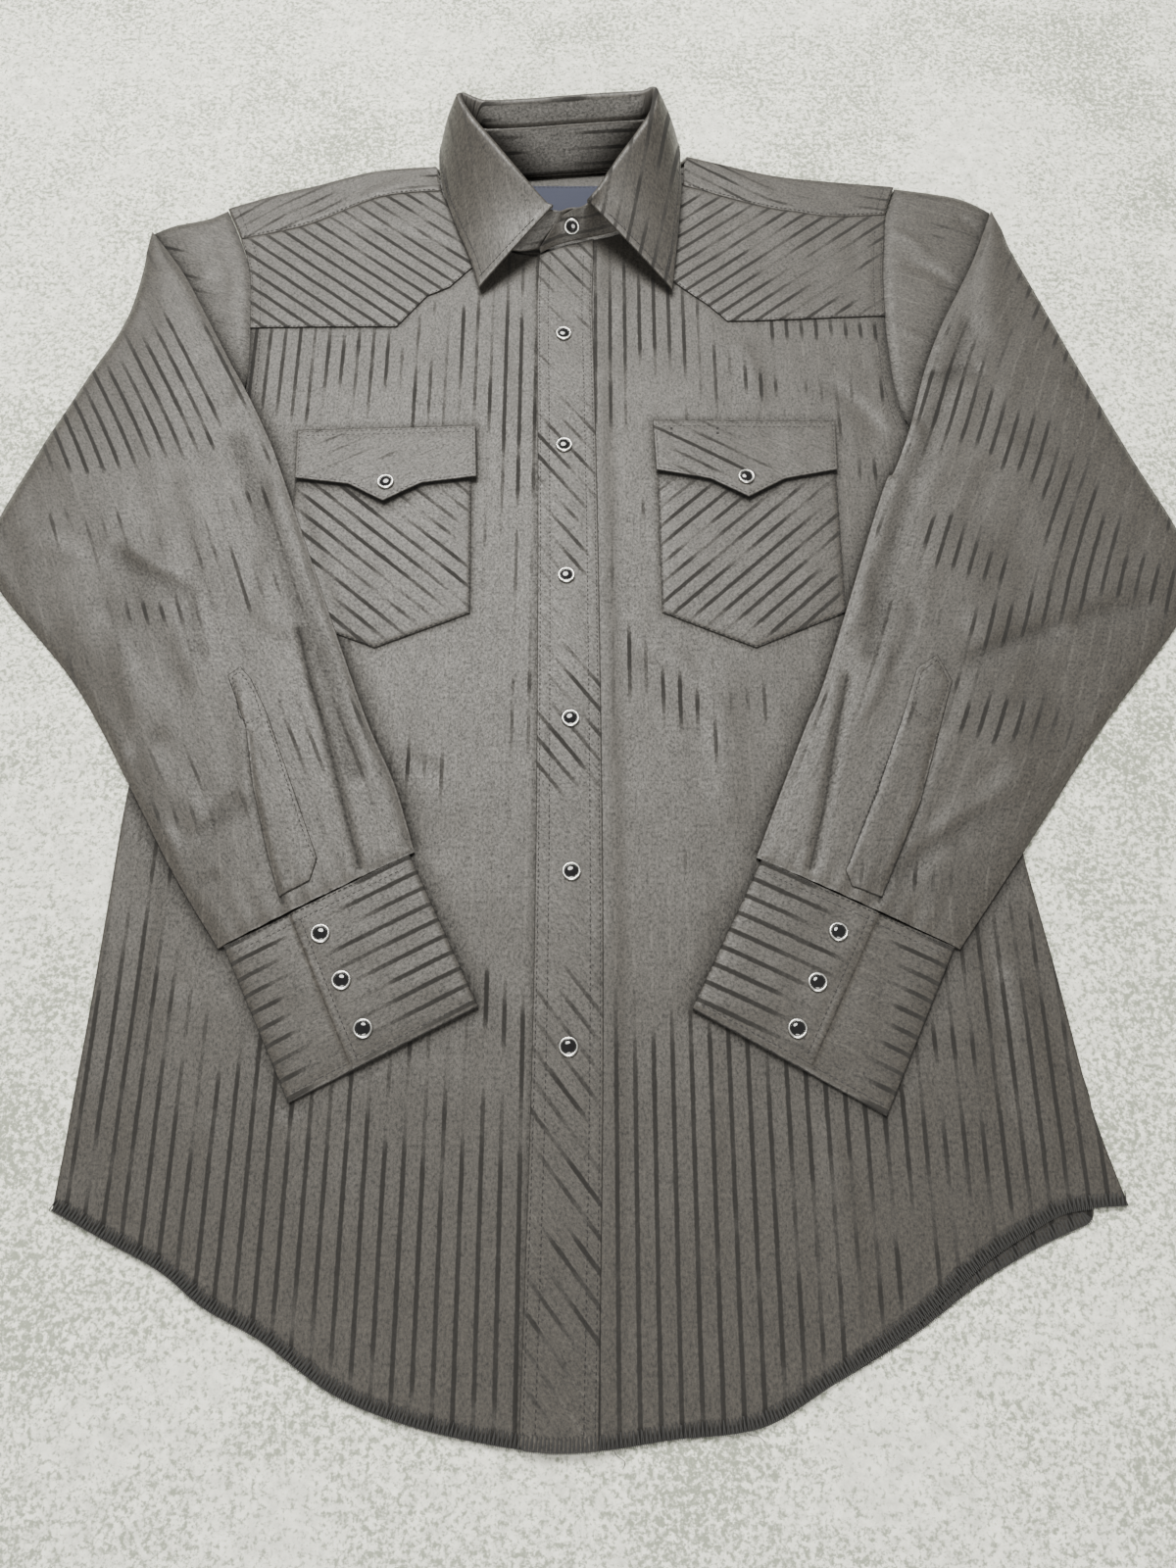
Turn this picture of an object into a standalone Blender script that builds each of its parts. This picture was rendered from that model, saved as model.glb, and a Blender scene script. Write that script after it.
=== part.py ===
"""Western snap shirt, snapped shut and laid flat, with both sleeves folded over its front.

Run with blender --background --python part.py, or from Blender's text editor.

The tables hold millimetres. x runs across the shirt, with the wearer's left at +x. y runs up it from the
level of the hem's side corners. z is the height over the table. Meshes are made in metres, and the origin
is on the table under the middle of the whole shirt.

Every cloth piece is a closed wall between an underside and a top side. A piece that lies on another one
takes its underside from the height of what it lies on, moved up by the seam gap.
"""

import math

import bmesh
import bpy
from mathutils import Vector
from mathutils.geometry import delaunay_2d_cdt

# ---------------------------------------------------------------- driving dimensions, millimetres
MM = 0.001
MIDDLE = (0.0, 320.5)        # the middle of the whole shirt, which becomes the origin
WALL = 1.0                   # cloth wall
GAP = 0.3                    # between two pieces, in height and along seams
LAYER = WALL + GAP           # what one more layer of cloth adds
COLLAR_WALL = 1.5            # collar pieces are two cloths and an interlining
CURVE_STEP = 12.0            # length of a straight bit along a curved edge
CLOTH_GRID = 24.0            # mesh size of a flat panel
SLEEVE_GRID = 16.0           # mesh size of a sleeve
BACK_GRID = 120.0            # mesh size of the back, which is flat
RAMP = 12.0                  # length over which cloth steps up onto a layer
OVER_EDGE = 2.0              # how far such a step keeps clear of the edge that it climbs
CLIMB_START = 2.6            # where the mesh of a sleeve has a line along that step
MITRE_LEAST = 0.35           # cosine that keeps a sharp corner's mitre short
GRID_CLEAR = 0.45            # share of a mesh's size that its grid keeps clear of lines

PLACKET_WIDTH = 37.0
FLAP_LIFT = 2.6              # how far a flap's point stands off its pocket
POCKET_CLEAR = 8.0           # a sleeve steps up onto a pocket this far before it
FOLD_STEP = 3.0              # width of the rounded step along a sleeve's fold
PAST_FOLD = 3.6              # where the mesh has a line beyond that step
SLEEVE_PILLOW = 2.8          # air in the middle of a folded sleeve
SLEEVE_PILLOW_REACH = 26.0   # how far in from its edges that air fills it
SLEEVE_HEAD = 1.2            # air in the sleeve next to its armhole
SLEEVE_HEAD_REACH = 10.0
SLEEVE_SAG = 1.6             # how much lower it lies between the elbow and the body
SAG_REACH = 40.0
CUFF_EASE = 3.0              # how much wider the sleeve is than its cuff, at each side
CUFF_PILLOW = 1.4
CUFF_PILLOW_REACH = 10.0
CUFF_LAP = 1.2               # step where the cuff's upper end laps over the lower
LAP_STEP = 1.5               # width of that step
NECK_LIP = 3.0               # of the back yoke, turned up to the collar's seam
YOKE_CLEAR = 0.5             # between the back yoke and the sleeves
YOKE_END_POWER = 8           # only the ends of the back yoke follow the armholes' curves
YOKE_SHARES = (0.0, 0.2, 0.4, 0.6, 0.8, 1.0)
YOKE_TURN = (-45, 0, 45)     # degrees round the shoulder fold
ROLL_RADIUS = 2.6            # of the leaf's turn over the stand
ROLL_END_SHARE = 0.5         # and what is left of it at the leaf's ends
ROLL_END_REACH = 2.5         # stations over which it gets there
LEAF_START = 1.1             # how far over the stand's edge the leaf turns at least
ROLL_ANGLES = (0, 60, 120, 170)
LEAF_SHARES = (0.25, 0.5, 0.75, 1.0)
LEAF_BELLY = 2.5             # how far the leaf bows out as it falls
STAND_SHARES = (0.0, 0.35, 0.7, 1.0)
COLLAR_STEP = 0.5            # length of the collar's mesh, in stations
SNAP_SIDES = 12
RING_PROFILE = ((4.4, 0.0), (5.2, 0.0), (5.1, 1.0), (4.6, 1.5))      # radius, height
CAP_PROFILE = ((4.0, 0.0), (4.0, 1.2), (2.9, 1.9), (1.2, 2.2))
GROOVE_SHARE = 0.12          # half height of a groove between folded layers, in shares of the edge
GROOVE_DEPTH = 0.8
SHARP_DEGREES = 35.0
SAME = 0.5                   # points closer than this are one
NEXT = 0.1                   # step, in stations, that finds which way the collar runs
SAME_STATION = 0.05          # stations closer than this are one
MERGE = 0.05                 # points of a flat mesh closer than this are one
FAR = 900.0                  # beyond the shirt

# ---------------------------------------------------------------- edges of the body: x, y
HEM = [
    (-265, 13), (-234.5, -2), (-207, -15.5), (-185, -31), (-155, -46), (-123, -66.5), (-94.5, -78),
    (-60, -86.5), (-21, -92), (9.5, -91), (40, -87), (80.5, -82), (116.5, -63), (155, -39.5), (190, -13),
    (212, 0.5), (232, 10.7), (246, 13.5), (267, 15),
]
HEM_BACK = [
    (-263, 14), (-207, -14), (-155, -44.5), (-94.5, -74), (-21, -88), (40, -85.5), (80.5, -82.5),
    (116.5, -64), (155.6, -43), (188, -21.5), (216.7, -6), (234, 1.6), (246.5, 6.8), (249.5, 10.5),
]
SIDE_RIGHT = [(-245, 440), (-252, 340), (-258, 238), (-260.2, 128), (-264, 14)]
SIDE_LEFT = [
    (219, 440), (230, 320), (239, 200), (247, 137), (252.5, 90), (256.5, 59), (261.5, 36), (267, 15),
]
ARMHOLE_RIGHT = [(-249, 664), (-237, 636), (-228, 607), (-223, 560), (-221, 511), (-227, 472), (-245, 440)]
ARMHOLE_LEFT = [
    (213.5, 684), (205, 658), (202, 636), (198.5, 605), (197, 570), (197, 540), (198.5, 510), (204, 480),
    (219, 440),
]
FOLD_RIGHT = [(-249, 664), (-218, 676), (-188, 685.5), (-149, 698.5), (-107, 703)]
FOLD_LEFT = [(70, 712.5), (89, 706.5), (129, 694.5), (166, 689), (213.5, 684)]
NECK_BACK = [(-107, 703), (-99, 698), (-60, 695), (-16, 698), (30, 701), (60, 704), (70, 712.5)]
SHOULDER_RIGHT = [(-237, 636), (-192, 649), (-144, 674), (-102, 680)]
SHOULDER_LEFT = [(66, 685), (118, 666), (145, 660), (170, 656), (205, 658)]
NECK_RIGHT = [(-102, 680), (-94, 663), (-77, 643), (-58, 629), (-46, 624.5), (-34, 622.5)]
NECK_LEFT = [(4, 635.5), (24, 643.5), (41, 653.5), (54, 667), (66, 685)]
FRONT_EDGE = [
    (-33, 622.5), (-34, 580), (-33.5, 552), (-31.5, 450), (-30, 338), (-28.8, 188), (-29.3, 62), (-32, -89),
]

# ---------------------------------------------------------------- what is laid on the fronts: x, y
YOKE_EDGE_RIGHT = [(-223, 560), (-126, 561), (-107, 586.6), (-92.4, 594.4), (-80, 609), (-58, 629)]
YOKE_EDGE_LEFT = [
    (24, 643.5), (40, 618), (58, 598), (64.5, 592), (78.5, 580), (92, 565.5), (109, 565.5), (197, 570),
]
POCKET_RIGHT = [(-183, 462), (-181, 346), (-125.3, 323.3), (-70, 346.6), (-73, 462)]
POCKET_LEFT = [(43, 466), (44, 347), (98.6, 323.3), (153.4, 347), (155, 466)]
FLAP_RIGHT = [(-184, 477), (-182, 440), (-148, 435), (-126, 422.5), (-103, 436), (-69, 441), (-71, 481)]
FLAP_LEFT = [(41, 485), (42.3, 446), (76, 439), (99, 425.6), (122, 439), (155.4, 446), (157, 484)]
LABEL = [(-45, 656), (10, 656), (10, 686), (-45, 686)]

# ---------------------------------------------------------------- sleeves: x, y
SLEEVE_TOP_RIGHT = [(-298, 643), (-284, 650), (-262, 656), (-249, 664)]
SLEEVE_TOP_LEFT = [(278, 662), (261, 673), (239.5, 679), (213.5, 684)]
SLEEVE_OUTER_RIGHT = [
    (-298, 643), (-304.5, 572), (-325, 517), (-344, 467), (-361, 417), (-367, 388), (-352, 361),
    (-299, 301), (-258, 238), (-227, 187),
]
SLEEVE_OUTER_LEFT = [
    (278, 662), (288, 625), (303.5, 576), (318, 530), (341, 460), (359.5, 409), (367, 375), (350, 340),
    (295, 273), (251, 213.5),
]
SLEEVE_INNER_RIGHT = [
    (-298, 643), (-272, 606), (-251, 567), (-232, 531), (-221, 511), (-205, 479), (-191, 446),
    (-146, 327), (-126, 276), (-108, 237),
]
SLEEVE_INNER_LEFT = [
    (278, 662), (261, 619), (248, 592), (232, 560), (218, 525), (204, 480), (191, 447), (183, 434),
    (152, 345), (135, 297), (125, 275), (110, 239),
]
CROSSING_RIGHT = (-221, 511)         # where the folded sleeve comes onto the body
CROSSING_LEFT = (204, 480)
ARMPIT_RIGHT = (-245, 440)
ARMPIT_LEFT = (219, 440)
ELBOW_RIGHT = (-367, 388)
ELBOW_LEFT = (367, 375)
CUFF_RIGHT = [(-97.5, 196), (-194, 145), (-152, 64), (-57, 113)]
CUFF_LEFT = [(94.5, 193), (54, 112), (151, 57.5), (195, 144.5)]
CUFF_LAP_RIGHT = [(-159, 160), (-121, 81)]
CUFF_LAP_LEFT = [(115, 83), (156, 162)]
TOWER_RIGHT = [
    (-208, 303), (-194, 270), (-187, 236), (-176, 199), (-166, 171), (-150, 180), (-147, 193), (-182.5, 279),
    (-194, 301), (-201, 309),
]
TOWER_LEFT = [
    (181, 283), (160, 231), (139, 186), (142, 177), (158, 171), (184, 225), (199, 268), (210, 300),
    (203, 317), (190, 308),
]

# ---------------------------------------------------------------- snaps: x, y
SNAPS_PLACKET = [(-16, 553), (-15, 465), (-13, 371), (-10, 277), (-9, 186), (-10, 92)]
SNAP_FLAP_RIGHT = (-125, 436)
SNAP_FLAP_LEFT = (98, 440)
SNAPS_CUFF_RIGHT = [(-142, 151), (-129, 126), (-116, 101)]
SNAPS_CUFF_LEFT = [(133, 152), (120, 125), (108, 101)]
NECK_SNAP_STATION = 19.0     # on the collar stand, by its table
NECK_SNAP_SHARE = 0.52       # and up its wall
NECK_SNAP_LIFT = 1.6         # off the curve of that wall

# ---------------------------------------------------------------- folds: x0, y0, x1, y1, half width, height
FRONT_FOLDS = [
    (226, 125, 234, 45, 15, 1.8),
    (-216, 112, -228, 20, 16, 1.6),
    (-122, 20, -132, -45, 22, 1.2),
    (122, 20, 132, -45, 22, 1.2),
    (-88, 303, -80, 225, 20, 1.2),
    (76, 303, 80, 225, 18, 1.1),
]
SLEEVE_FOLDS_RIGHT = [
    (-285, 600, -262, 540, 16, 1.6),
    (-330, 470, -285, 400, 24, 1.8),
    (-262, 372, -226, 305, 17, 2.2),
    (-240, 430, -205, 360, 22, 1.6),
    (-300, 335, -255, 285, 17, 1.6),
    (-243, 250, -216, 216, 13, 1.8),
]
SLEEVE_FOLDS_LEFT = [
    (270, 635, 264, 560, 15, 1.8),
    (232, 505, 300, 512, 14, 2.2),
    (210, 440, 262, 465, 17, 1.6),
    (232, 338, 318, 362, 16, 2.4),
    (205, 395, 250, 400, 20, 1.4),
    (196, 208, 240, 240, 13, 2.0),
]

# ---------------------------------------------------------------- collar, from the under end round the back
# base x, y, z; roll x, y, z; share of the wall that is stand
COLLAR_STATIONS = [
    (3, 638.5, 4.0, 3, 645.5, 20.5, 1.0),
    (-14, 634.5, 3.8, -11, 645.0, 21.5, 1.0),
    (-30, 628.5, 4.0, -20, 640.5, 23.0, 1.0),
    (-50, 625.0, 4.3, -31, 649.0, 27.0, 0.84),
    (-74, 639.5, 4.6, -44, 663.0, 33.0, 0.76),
    (-92, 660.5, 4.7, -62, 684.0, 40.0, 0.70),
    (-98, 680.0, 4.7, -78, 704.0, 45.0, 0.66),
    (-91, 690.0, 4.7, -85, 719.0, 47.5, 0.64),
    (-70, 691.0, 4.7, -70, 714.5, 45.5, 0.64),
    (-42.5, 692.8, 4.7, -42, 715.5, 45.5, 0.64),
    (-16, 695.5, 4.7, -16, 717.5, 46.0, 0.64),
    (11, 698.0, 4.7, 11, 719.5, 46.5, 0.64),
    (36, 699.5, 4.7, 36, 721.0, 47.0, 0.64),
    (53, 698.5, 4.7, 43.5, 723.0, 48.0, 0.64),
    (60, 685.0, 4.7, 41, 707.0, 45.0, 0.66),
    (53, 667.0, 4.7, 31.5, 692.0, 40.0, 0.70),
    (36, 650.0, 4.6, 18, 673.0, 35.0, 0.77),
    (15, 640.5, 4.5, 6.5, 654.0, 31.0, 0.87),
    (0, 635.4, 5.6, -1, 641.6, 27.5, 1.0),
    (-10, 632.2, 5.9, -11, 641.0, 23.0, 1.0),
    (-18.5, 629.3, 5.9, -20, 638.5, 18.0, 1.0),
    (-26, 625.6, 5.9, -27.5, 629.5, 12.5, 1.0),
    (-32, 621.5, 5.9, -32.6, 622.5, 8.4, 1.0),
]
# station; outer edge x, y, z of the leaf
LEAF_EDGE = [
    (2.35, -72.5, 589, 8.5),
    (3, -79.3, 614, 8.5),
    (4, -89.3, 641.5, 9.0),
    (5, -97.8, 668.5, 10.0),
    (6, -102.7, 693, 12.0),
    (7, -100, 713, 12.0),
    (8, -80, 727, 8.0),
    (9, -45, 729.5, 6.5),
    (10, -16, 730, 6.5),
    (11, 12, 731, 6.5),
    (12, 43, 730, 7.5),
    (13, 61.5, 713, 12.0),
    (14, 63.5, 692, 14.0),
    (15, 63.7, 671.5, 11.5),
    (16, 61.8, 646.5, 9.8),
    (17, 58.8, 615.5, 8.8),
    (17.9, 55.8, 588, 8.5),
]

# ---------------------------------------------------------------- red, green, blue, roughness, metallic
FINISHES = {
    "cloth": (0.085, 0.081, 0.074, 0.62, 0.0),
    "label": (0.10, 0.12, 0.24, 0.80, 0.0),
    "metal": (0.75, 0.75, 0.74, 0.22, 1.0),
    "pearl": (0.012, 0.012, 0.014, 0.12, 0.0),
}


# ================================================================ curves and distances
def catmull_rom(points, t):
    """The point at t, counted in points, on a smooth curve through the points."""
    last = len(points) - 1
    i = min(max(int(math.floor(t)), 0), last - 1)
    f = t - i
    rows = [points[max(i - 1, 0)], points[i], points[i + 1], points[min(i + 2, last)]]
    found = []
    for a, b, c, d in zip(*rows):
        square = 2 * a - 5 * b + 4 * c - d
        cube = 3 * b - a - 3 * c + d
        found.append(0.5 * (2 * b + (c - a) * f + square * f * f + cube * f ** 3))
    return tuple(found)


def smooth_edge(points, step=CURVE_STEP):
    """A smooth edge through the points, cut into straight bits of about one step."""
    edge = []
    for i in range(len(points) - 1):
        bits = max(1, round(math.dist(points[i], points[i + 1]) / step))
        edge += [catmull_rom(points, i + k / bits) for k in range(bits)]
    return edge + [points[-1]]


def straight_edge(points, step=CLOTH_GRID):
    """Straight runs between the points, cut into bits of about one step."""
    edge = []
    for a, b in zip(points, points[1:]):
        bits = max(1, round(math.dist(a, b) / step))
        edge += [tuple(p + (q - p) * k / bits for p, q in zip(a, b)) for k in range(bits)]
    return edge + [points[-1]]


def outline(*edges):
    """One closed loop, counter-clockwise, from edges that follow each other."""
    loop = []
    for edge in edges:
        loop += [point for k, point in enumerate(edge) if k or not loop or math.dist(loop[-1], point) > SAME]
    if math.dist(loop[0], loop[-1]) <= SAME:
        loop.pop()
    area = sum(a[0] * b[1] - b[0] * a[1] for a, b in zip(loop, loop[1:] + loop[:1]))
    return loop if area > 0 else loop[::-1]


def inset(loop, distance):
    """The loop moved inwards."""
    moved = []
    for (ax, ay), (x, y), (bx, by) in zip(loop[-1:] + loop, loop, loop[1:] + loop[:1]):
        before = Vector((ay - y, x - ax)).normalized()
        after = Vector((y - by, bx - x)).normalized()
        middle = (before + after).normalized()
        reach = distance / max(middle.dot(before), MITRE_LEAST)
        moved.append((x + middle.x * reach, y + middle.y * reach))
    return moved


def shifted(points, dx):
    return [(x + dx, y) for x, y in points]


def distance_to(x, y, points):
    """Distance from a place to a line of straight bits."""
    best = math.inf
    for (ax, ay), (bx, by) in zip(points, points[1:]):
        dx, dy = bx - ax, by - ay
        t = ((x - ax) * dx + (y - ay) * dy) / (dx * dx + dy * dy)
        t = min(max(t, 0.0), 1.0)
        best = min(best, math.hypot(x - ax - t * dx, y - ay - t * dy))
    return best


def inside(x, y, loop):
    """Whether a place is inside a closed loop."""
    found = False
    for (ax, ay), (bx, by) in zip(loop, loop[1:] + loop[:1]):
        if (ay > y) != (by > y) and x < (bx - ax) * (y - ay) / (by - ay) + ax:
            found = not found
    return found


def outside_by(x, y, loop):
    """Distance from a place to a closed loop, 0 inside it."""
    return 0.0 if inside(x, y, loop) else distance_to(x, y, loop + loop[:1])


def y_at(edge, x):
    """y of an edge that runs across the shirt, at an x on it."""
    for (ax, ay), (bx, by) in zip(edge, edge[1:]):
        if min(ax, bx) <= x <= max(ax, bx):
            return ay + (by - ay) * (x - ax) / (bx - ax)
    return edge[0][1] if abs(x - edge[0][0]) < abs(x - edge[-1][0]) else edge[-1][1]


def x_at(edge, y):
    """x of an edge that runs up the shirt, at a y on it."""
    return y_at([(q, p) for p, q in edge], y)


def ease(t):
    """0 to 1 with a soft start and end."""
    t = min(max(t, 0.0), 1.0)
    return t * t * (3 - 2 * t)


def folds_at(x, y, folds):
    """Height that the soft ridges of a fold table add at a place."""
    height = 0.0
    for x0, y0, x1, y1, half_width, rise in folds:
        reach = distance_to(x, y, [(x0, y0), (x1, y1)]) / half_width
        if reach < 1.0:
            height += rise * math.cos(reach * math.pi / 2) ** 2
    return height


def fold_lines(folds):
    """The crest and the two feet of each fold, along which its mesh has edges."""
    lines = []
    for x0, y0, x1, y1, half_width, rise in folds:
        length = math.dist((x0, y0), (x1, y1))
        nx, ny = (y0 - y1) / length * half_width, (x1 - x0) / length * half_width
        lines += [straight_edge([(x0 + nx * s, y0 + ny * s), (x1 + nx * s, y1 + ny * s)]) for s in (-1, 0, 1)]
    return lines


# ================================================================ meshes
def material(finish):
    """The Principled material of a finish, made once."""
    if finish in bpy.data.materials:
        return bpy.data.materials[finish]
    red, green, blue, roughness, metallic = FINISHES[finish]
    made = bpy.data.materials.new(finish)
    made.use_nodes = True
    shader = made.node_tree.nodes["Principled BSDF"]
    shader.inputs["Base Color"].default_value = (red, green, blue, 1.0)
    shader.inputs["Roughness"].default_value = roughness
    shader.inputs["Metallic"].default_value = metallic
    return made


def new_object(name, vertices, faces, finish="cloth"):
    """One object from points in the tables' millimetres, in metres about the origin."""
    made = bmesh.new()
    for x, y, z in vertices:
        made.verts.new(((x - MIDDLE[0]) * MM, (y - MIDDLE[1]) * MM, z * MM))
    made.verts.ensure_lookup_table()
    for face in faces:
        made.faces.new([made.verts[k] for k in face])
    bmesh.ops.recalc_face_normals(made, faces=made.faces)
    mesh = bpy.data.meshes.new(name)
    made.to_mesh(mesh)
    made.free()
    mesh.materials.append(material(finish))
    mesh.shade_smooth()
    mesh.set_sharp_from_angle(angle=math.radians(SHARP_DEGREES))
    piece = bpy.data.objects.new(name, mesh)
    bpy.context.scene.collection.objects.link(piece)
    return piece


def near(place, loop):
    """Whether a place is as good as on a point of a loop."""
    return min(math.dist(place, point) for point in loop) < SAME


def grid_points(loop, lines, grid):
    """Grid places inside a loop that keep clear of its edge and of the lines."""
    closed = [loop + loop[:1]] + list(lines)
    xs = [p[0] for p in loop]
    ys = [p[1] for p in loop]
    found = []
    for i in range(math.floor(min(xs) / grid), math.ceil(max(xs) / grid) + 1):
        for j in range(math.floor(min(ys) / grid), math.ceil(max(ys) / grid) + 1):
            x, y = (i + (j % 2) / 2) * grid, j * grid
            if not inside(x, y, loop):
                continue
            if min(distance_to(x, y, line) for line in closed) > grid * GRID_CLEAR:
                found.append((x, y))
    return found


def flat_mesh(loop, lines, grid):
    """Flat points and triangles that fill a loop, with edges along the lines."""
    loop = inset(loop, GAP / 2)
    points = [Vector(p) for p in loop]
    edges = []
    for line in lines:
        edges += [(len(points) + k, len(points) + k + 1) for k in range(len(line) - 1)]
        points += [Vector(min(loop, key=lambda q: math.dist(p, q)) if near(p, loop) else p) for p in line]
    points += [Vector(p) for p in grid_points(loop, lines, grid)]
    made = delaunay_2d_cdt(points, edges, [list(range(len(loop)))], 0, MERGE)
    flat = [(v.x, v.y) for v in made[0]]
    kept = []
    for face in made[2]:
        x = sum(flat[k][0] for k in face) / len(face)
        y = sum(flat[k][1] for k in face) / len(face)
        if inside(x, y, loop):
            kept.append(tuple(face))
    return flat, kept


def faces_within(flat, triangles, loop):
    """The triangles whose middle is inside a loop."""
    kept = []
    for face in triangles:
        x = sum(flat[k][0] for k in face) / len(face)
        y = sum(flat[k][1] for k in face) / len(face)
        if inside(x, y, loop):
            kept.append(face)
    return kept


def boundary_loops(triangles):
    """The loops of edges that only one triangle has."""
    edges = set()
    for face in triangles:
        edges |= set(zip(face, face[1:] + face[:1]))
    following = {a: b for a, b in sorted(edges) if (b, a) not in edges}
    loops = []
    while following:
        start, step = following.popitem()
        loop = [start]
        while step != start:
            loop.append(step)
            step = following.pop(step)
        loops.append(loop)
    return loops


def wall_between(name, flat, triangles, low, high, joints=(), finish="cloth"):
    """A closed piece between two heights, with a groove in its edge at each joint, a share of the height."""
    used = sorted({k for face in triangles for k in face})
    place = {k: i for i, k in enumerate(used)}
    count = len(used)
    vertices = [(*flat[k], low(*flat[k])) for k in used]
    vertices += [(*flat[k], high(*flat[k])) for k in used]
    faces = [tuple(place[k] for k in reversed(face)) for face in triangles]
    faces += [tuple(place[k] + count for k in face) for face in triangles]
    rings = [(joint + side * GROOVE_SHARE, abs(side) < 1) for joint in joints for side in (-1, 0, 1)]
    for edge in boundary_loops(triangles):
        columns = []
        for k, (x, y) in zip(edge, inset([flat[k] for k in edge], GROOVE_DEPTH)):
            i = place[k]
            bottom, top = vertices[i][2], vertices[i + count][2]
            column = [i]
            for share, deep in rings:
                column.append(len(vertices))
                vertices.append((*((x, y) if deep else flat[k]), bottom + (top - bottom) * share))
            columns.append(column + [i + count])
        for one, two in zip(columns, columns[1:] + columns[:1]):
            faces += zip(one, two, two[1:], one[1:])
    return new_object(name, vertices, faces, finish)


def cloth(name, flat, triangles, low, finish="cloth"):
    """A single cloth whose underside has the given height."""
    return wall_between(name, flat, triangles, low, lambda x, y: low(x, y) + WALL, finish=finish)


def ribbon(name, rows, wall):
    """A closed wall about rows of centre points, half to each side of them."""
    last, across = len(rows) - 1, len(rows[0])
    grid = [[Vector(p) for p in row] for row in rows]
    sides = ([], [])
    for i, row in enumerate(grid):
        for j, point in enumerate(row):
            along = grid[min(i + 1, last)][j] - grid[max(i - 1, 0)][j]
            over = row[min(j + 1, across - 1)] - row[max(j - 1, 0)]
            normal = along.cross(over).normalized() * (wall / 2)
            sides[0].append(tuple(point + normal))
            sides[1].append(tuple(point - normal))
    far = len(sides[0])
    faces = []
    for i in range(last):
        for j in range(across - 1):
            a, b = i * across + j, (i + 1) * across + j
            faces += [(a, b, b + 1, a + 1), (a + far, a + far + 1, b + far + 1, b + far)]
        for j, order in ((0, 1), (across - 1, -1)):
            a, b = i * across + j, (i + 1) * across + j
            faces.append((a, a + far, b + far, b)[::order])
    for i, order in ((0, 1), (last, -1)):
        for j in range(across - 1):
            a = i * across + j
            faces.append((a, a + 1, a + far + 1, a + far)[::order])
    return new_object(name, sides[0] + sides[1], faces)


# ================================================================ body
def front_low(x, y):
    """Underside of the right front."""
    return LAYER + folds_at(x, y, FRONT_FOLDS)


def front_left_low(x, y):
    """The left front climbs onto the edge of the right one under the placket."""
    past = x - x_at(FRONT_EDGE, y) - PLACKET_WIDTH - OVER_EDGE
    return front_low(x, y) + LAYER * (1 - ease(past / RAMP))


def on(low, layers=1):
    """Underside of what lies on a cloth, some layers up."""
    return lambda x, y: low(x, y) + layers * LAYER


def above(edge, y):
    return [p for p in edge if p[1] >= y]


def below(edge, y):
    return [p for p in edge if p[1] <= y]


def make_back():
    """The back lies on the table and ends at the back yoke's seam."""
    seam = [ARMHOLE_LEFT[4], ARMHOLE_RIGHT[3]]
    loop = outline(
        smooth_edge(HEM_BACK),
        smooth_edge(SIDE_LEFT[:-2] + [HEM_BACK[-1]])[::-1],
        below(smooth_edge(ARMHOLE_LEFT), seam[0][1])[::-1],
        seam,
        below(smooth_edge(ARMHOLE_RIGHT), seam[1][1]),
        smooth_edge(SIDE_RIGHT[:-1] + [HEM_BACK[0]]),
    )
    cloth("back_panel", *flat_mesh(loop, [], BACK_GRID), lambda x, y: 0.0)


def front_loops():
    """The outlines of the two fronts. They overlap under the placket."""
    edge = smooth_edge(FRONT_EDGE, CLOTH_GRID)
    underlap = shifted(edge, PLACKET_WIDTH - OVER_EDGE)
    hem = smooth_edge(HEM)
    right = outline(
        [p for p in hem if p[0] < underlap[-1][0] - CURVE_STEP / 2],
        underlap[::-1],
        smooth_edge(NECK_RIGHT)[::-1],
        smooth_edge(SHOULDER_RIGHT)[::-1],
        below(smooth_edge(ARMHOLE_RIGHT), SHOULDER_RIGHT[0][1]),
        smooth_edge(SIDE_RIGHT),
    )
    left = outline(
        [p for p in hem if p[0] > edge[-1][0] + CURVE_STEP / 2],
        smooth_edge(SIDE_LEFT)[::-1],
        below(smooth_edge(ARMHOLE_LEFT), SHOULDER_LEFT[-1][1])[::-1],
        smooth_edge(SHOULDER_LEFT)[::-1],
        smooth_edge(NECK_LEFT)[::-1],
        edge,
    )
    return right, left


def make_front(side, loop, low, yoke_edge, pocket, flap, lines):
    """A front with what lies on it. The yoke and the pocket are made from the front's own points."""
    pocket_edge = straight_edge(pocket + pocket[:1])
    lines = lines + [straight_edge(yoke_edge), pocket_edge] + fold_lines(FRONT_FOLDS)
    flat, triangles = flat_mesh(loop, lines, CLOTH_GRID)
    cloth(f"front_{side}", flat, triangles, low)
    cloth(f"pocket_{side}", flat, faces_within(flat, triangles, pocket), on(low))
    cloth(f"front_yoke_{side}", flat, faces_within(flat, triangles, over_yoke(yoke_edge)), on(low))
    flap_loop = outline(straight_edge(flap + flap[:1]))
    cloth(f"flap_{side}", *flat_mesh(flap_loop, [], CLOTH_GRID), flap_low(flap, low))
    return flat, triangles


def over_yoke(edge):
    """An area that takes in all of a front above its yoke's edge."""
    neck, arm = sorted((edge[0], edge[-1]), key=lambda end: abs(end[0]))
    far = math.copysign(FAR, arm[0])
    around = [(far, arm[1]), (far, FAR), (neck[0], FAR)]
    return edge + (around if edge[-1] == arm else around[::-1])


def flap_low(flap, low):
    """Underside of a flap, which is sewn down along its top and stands off towards its point."""
    top = max(y for x, y in flap)
    depth = top - min(y for x, y in flap)
    return lambda x, y: low(x, y) + 2 * LAYER + FLAP_LIFT * (top - y) / depth


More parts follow.
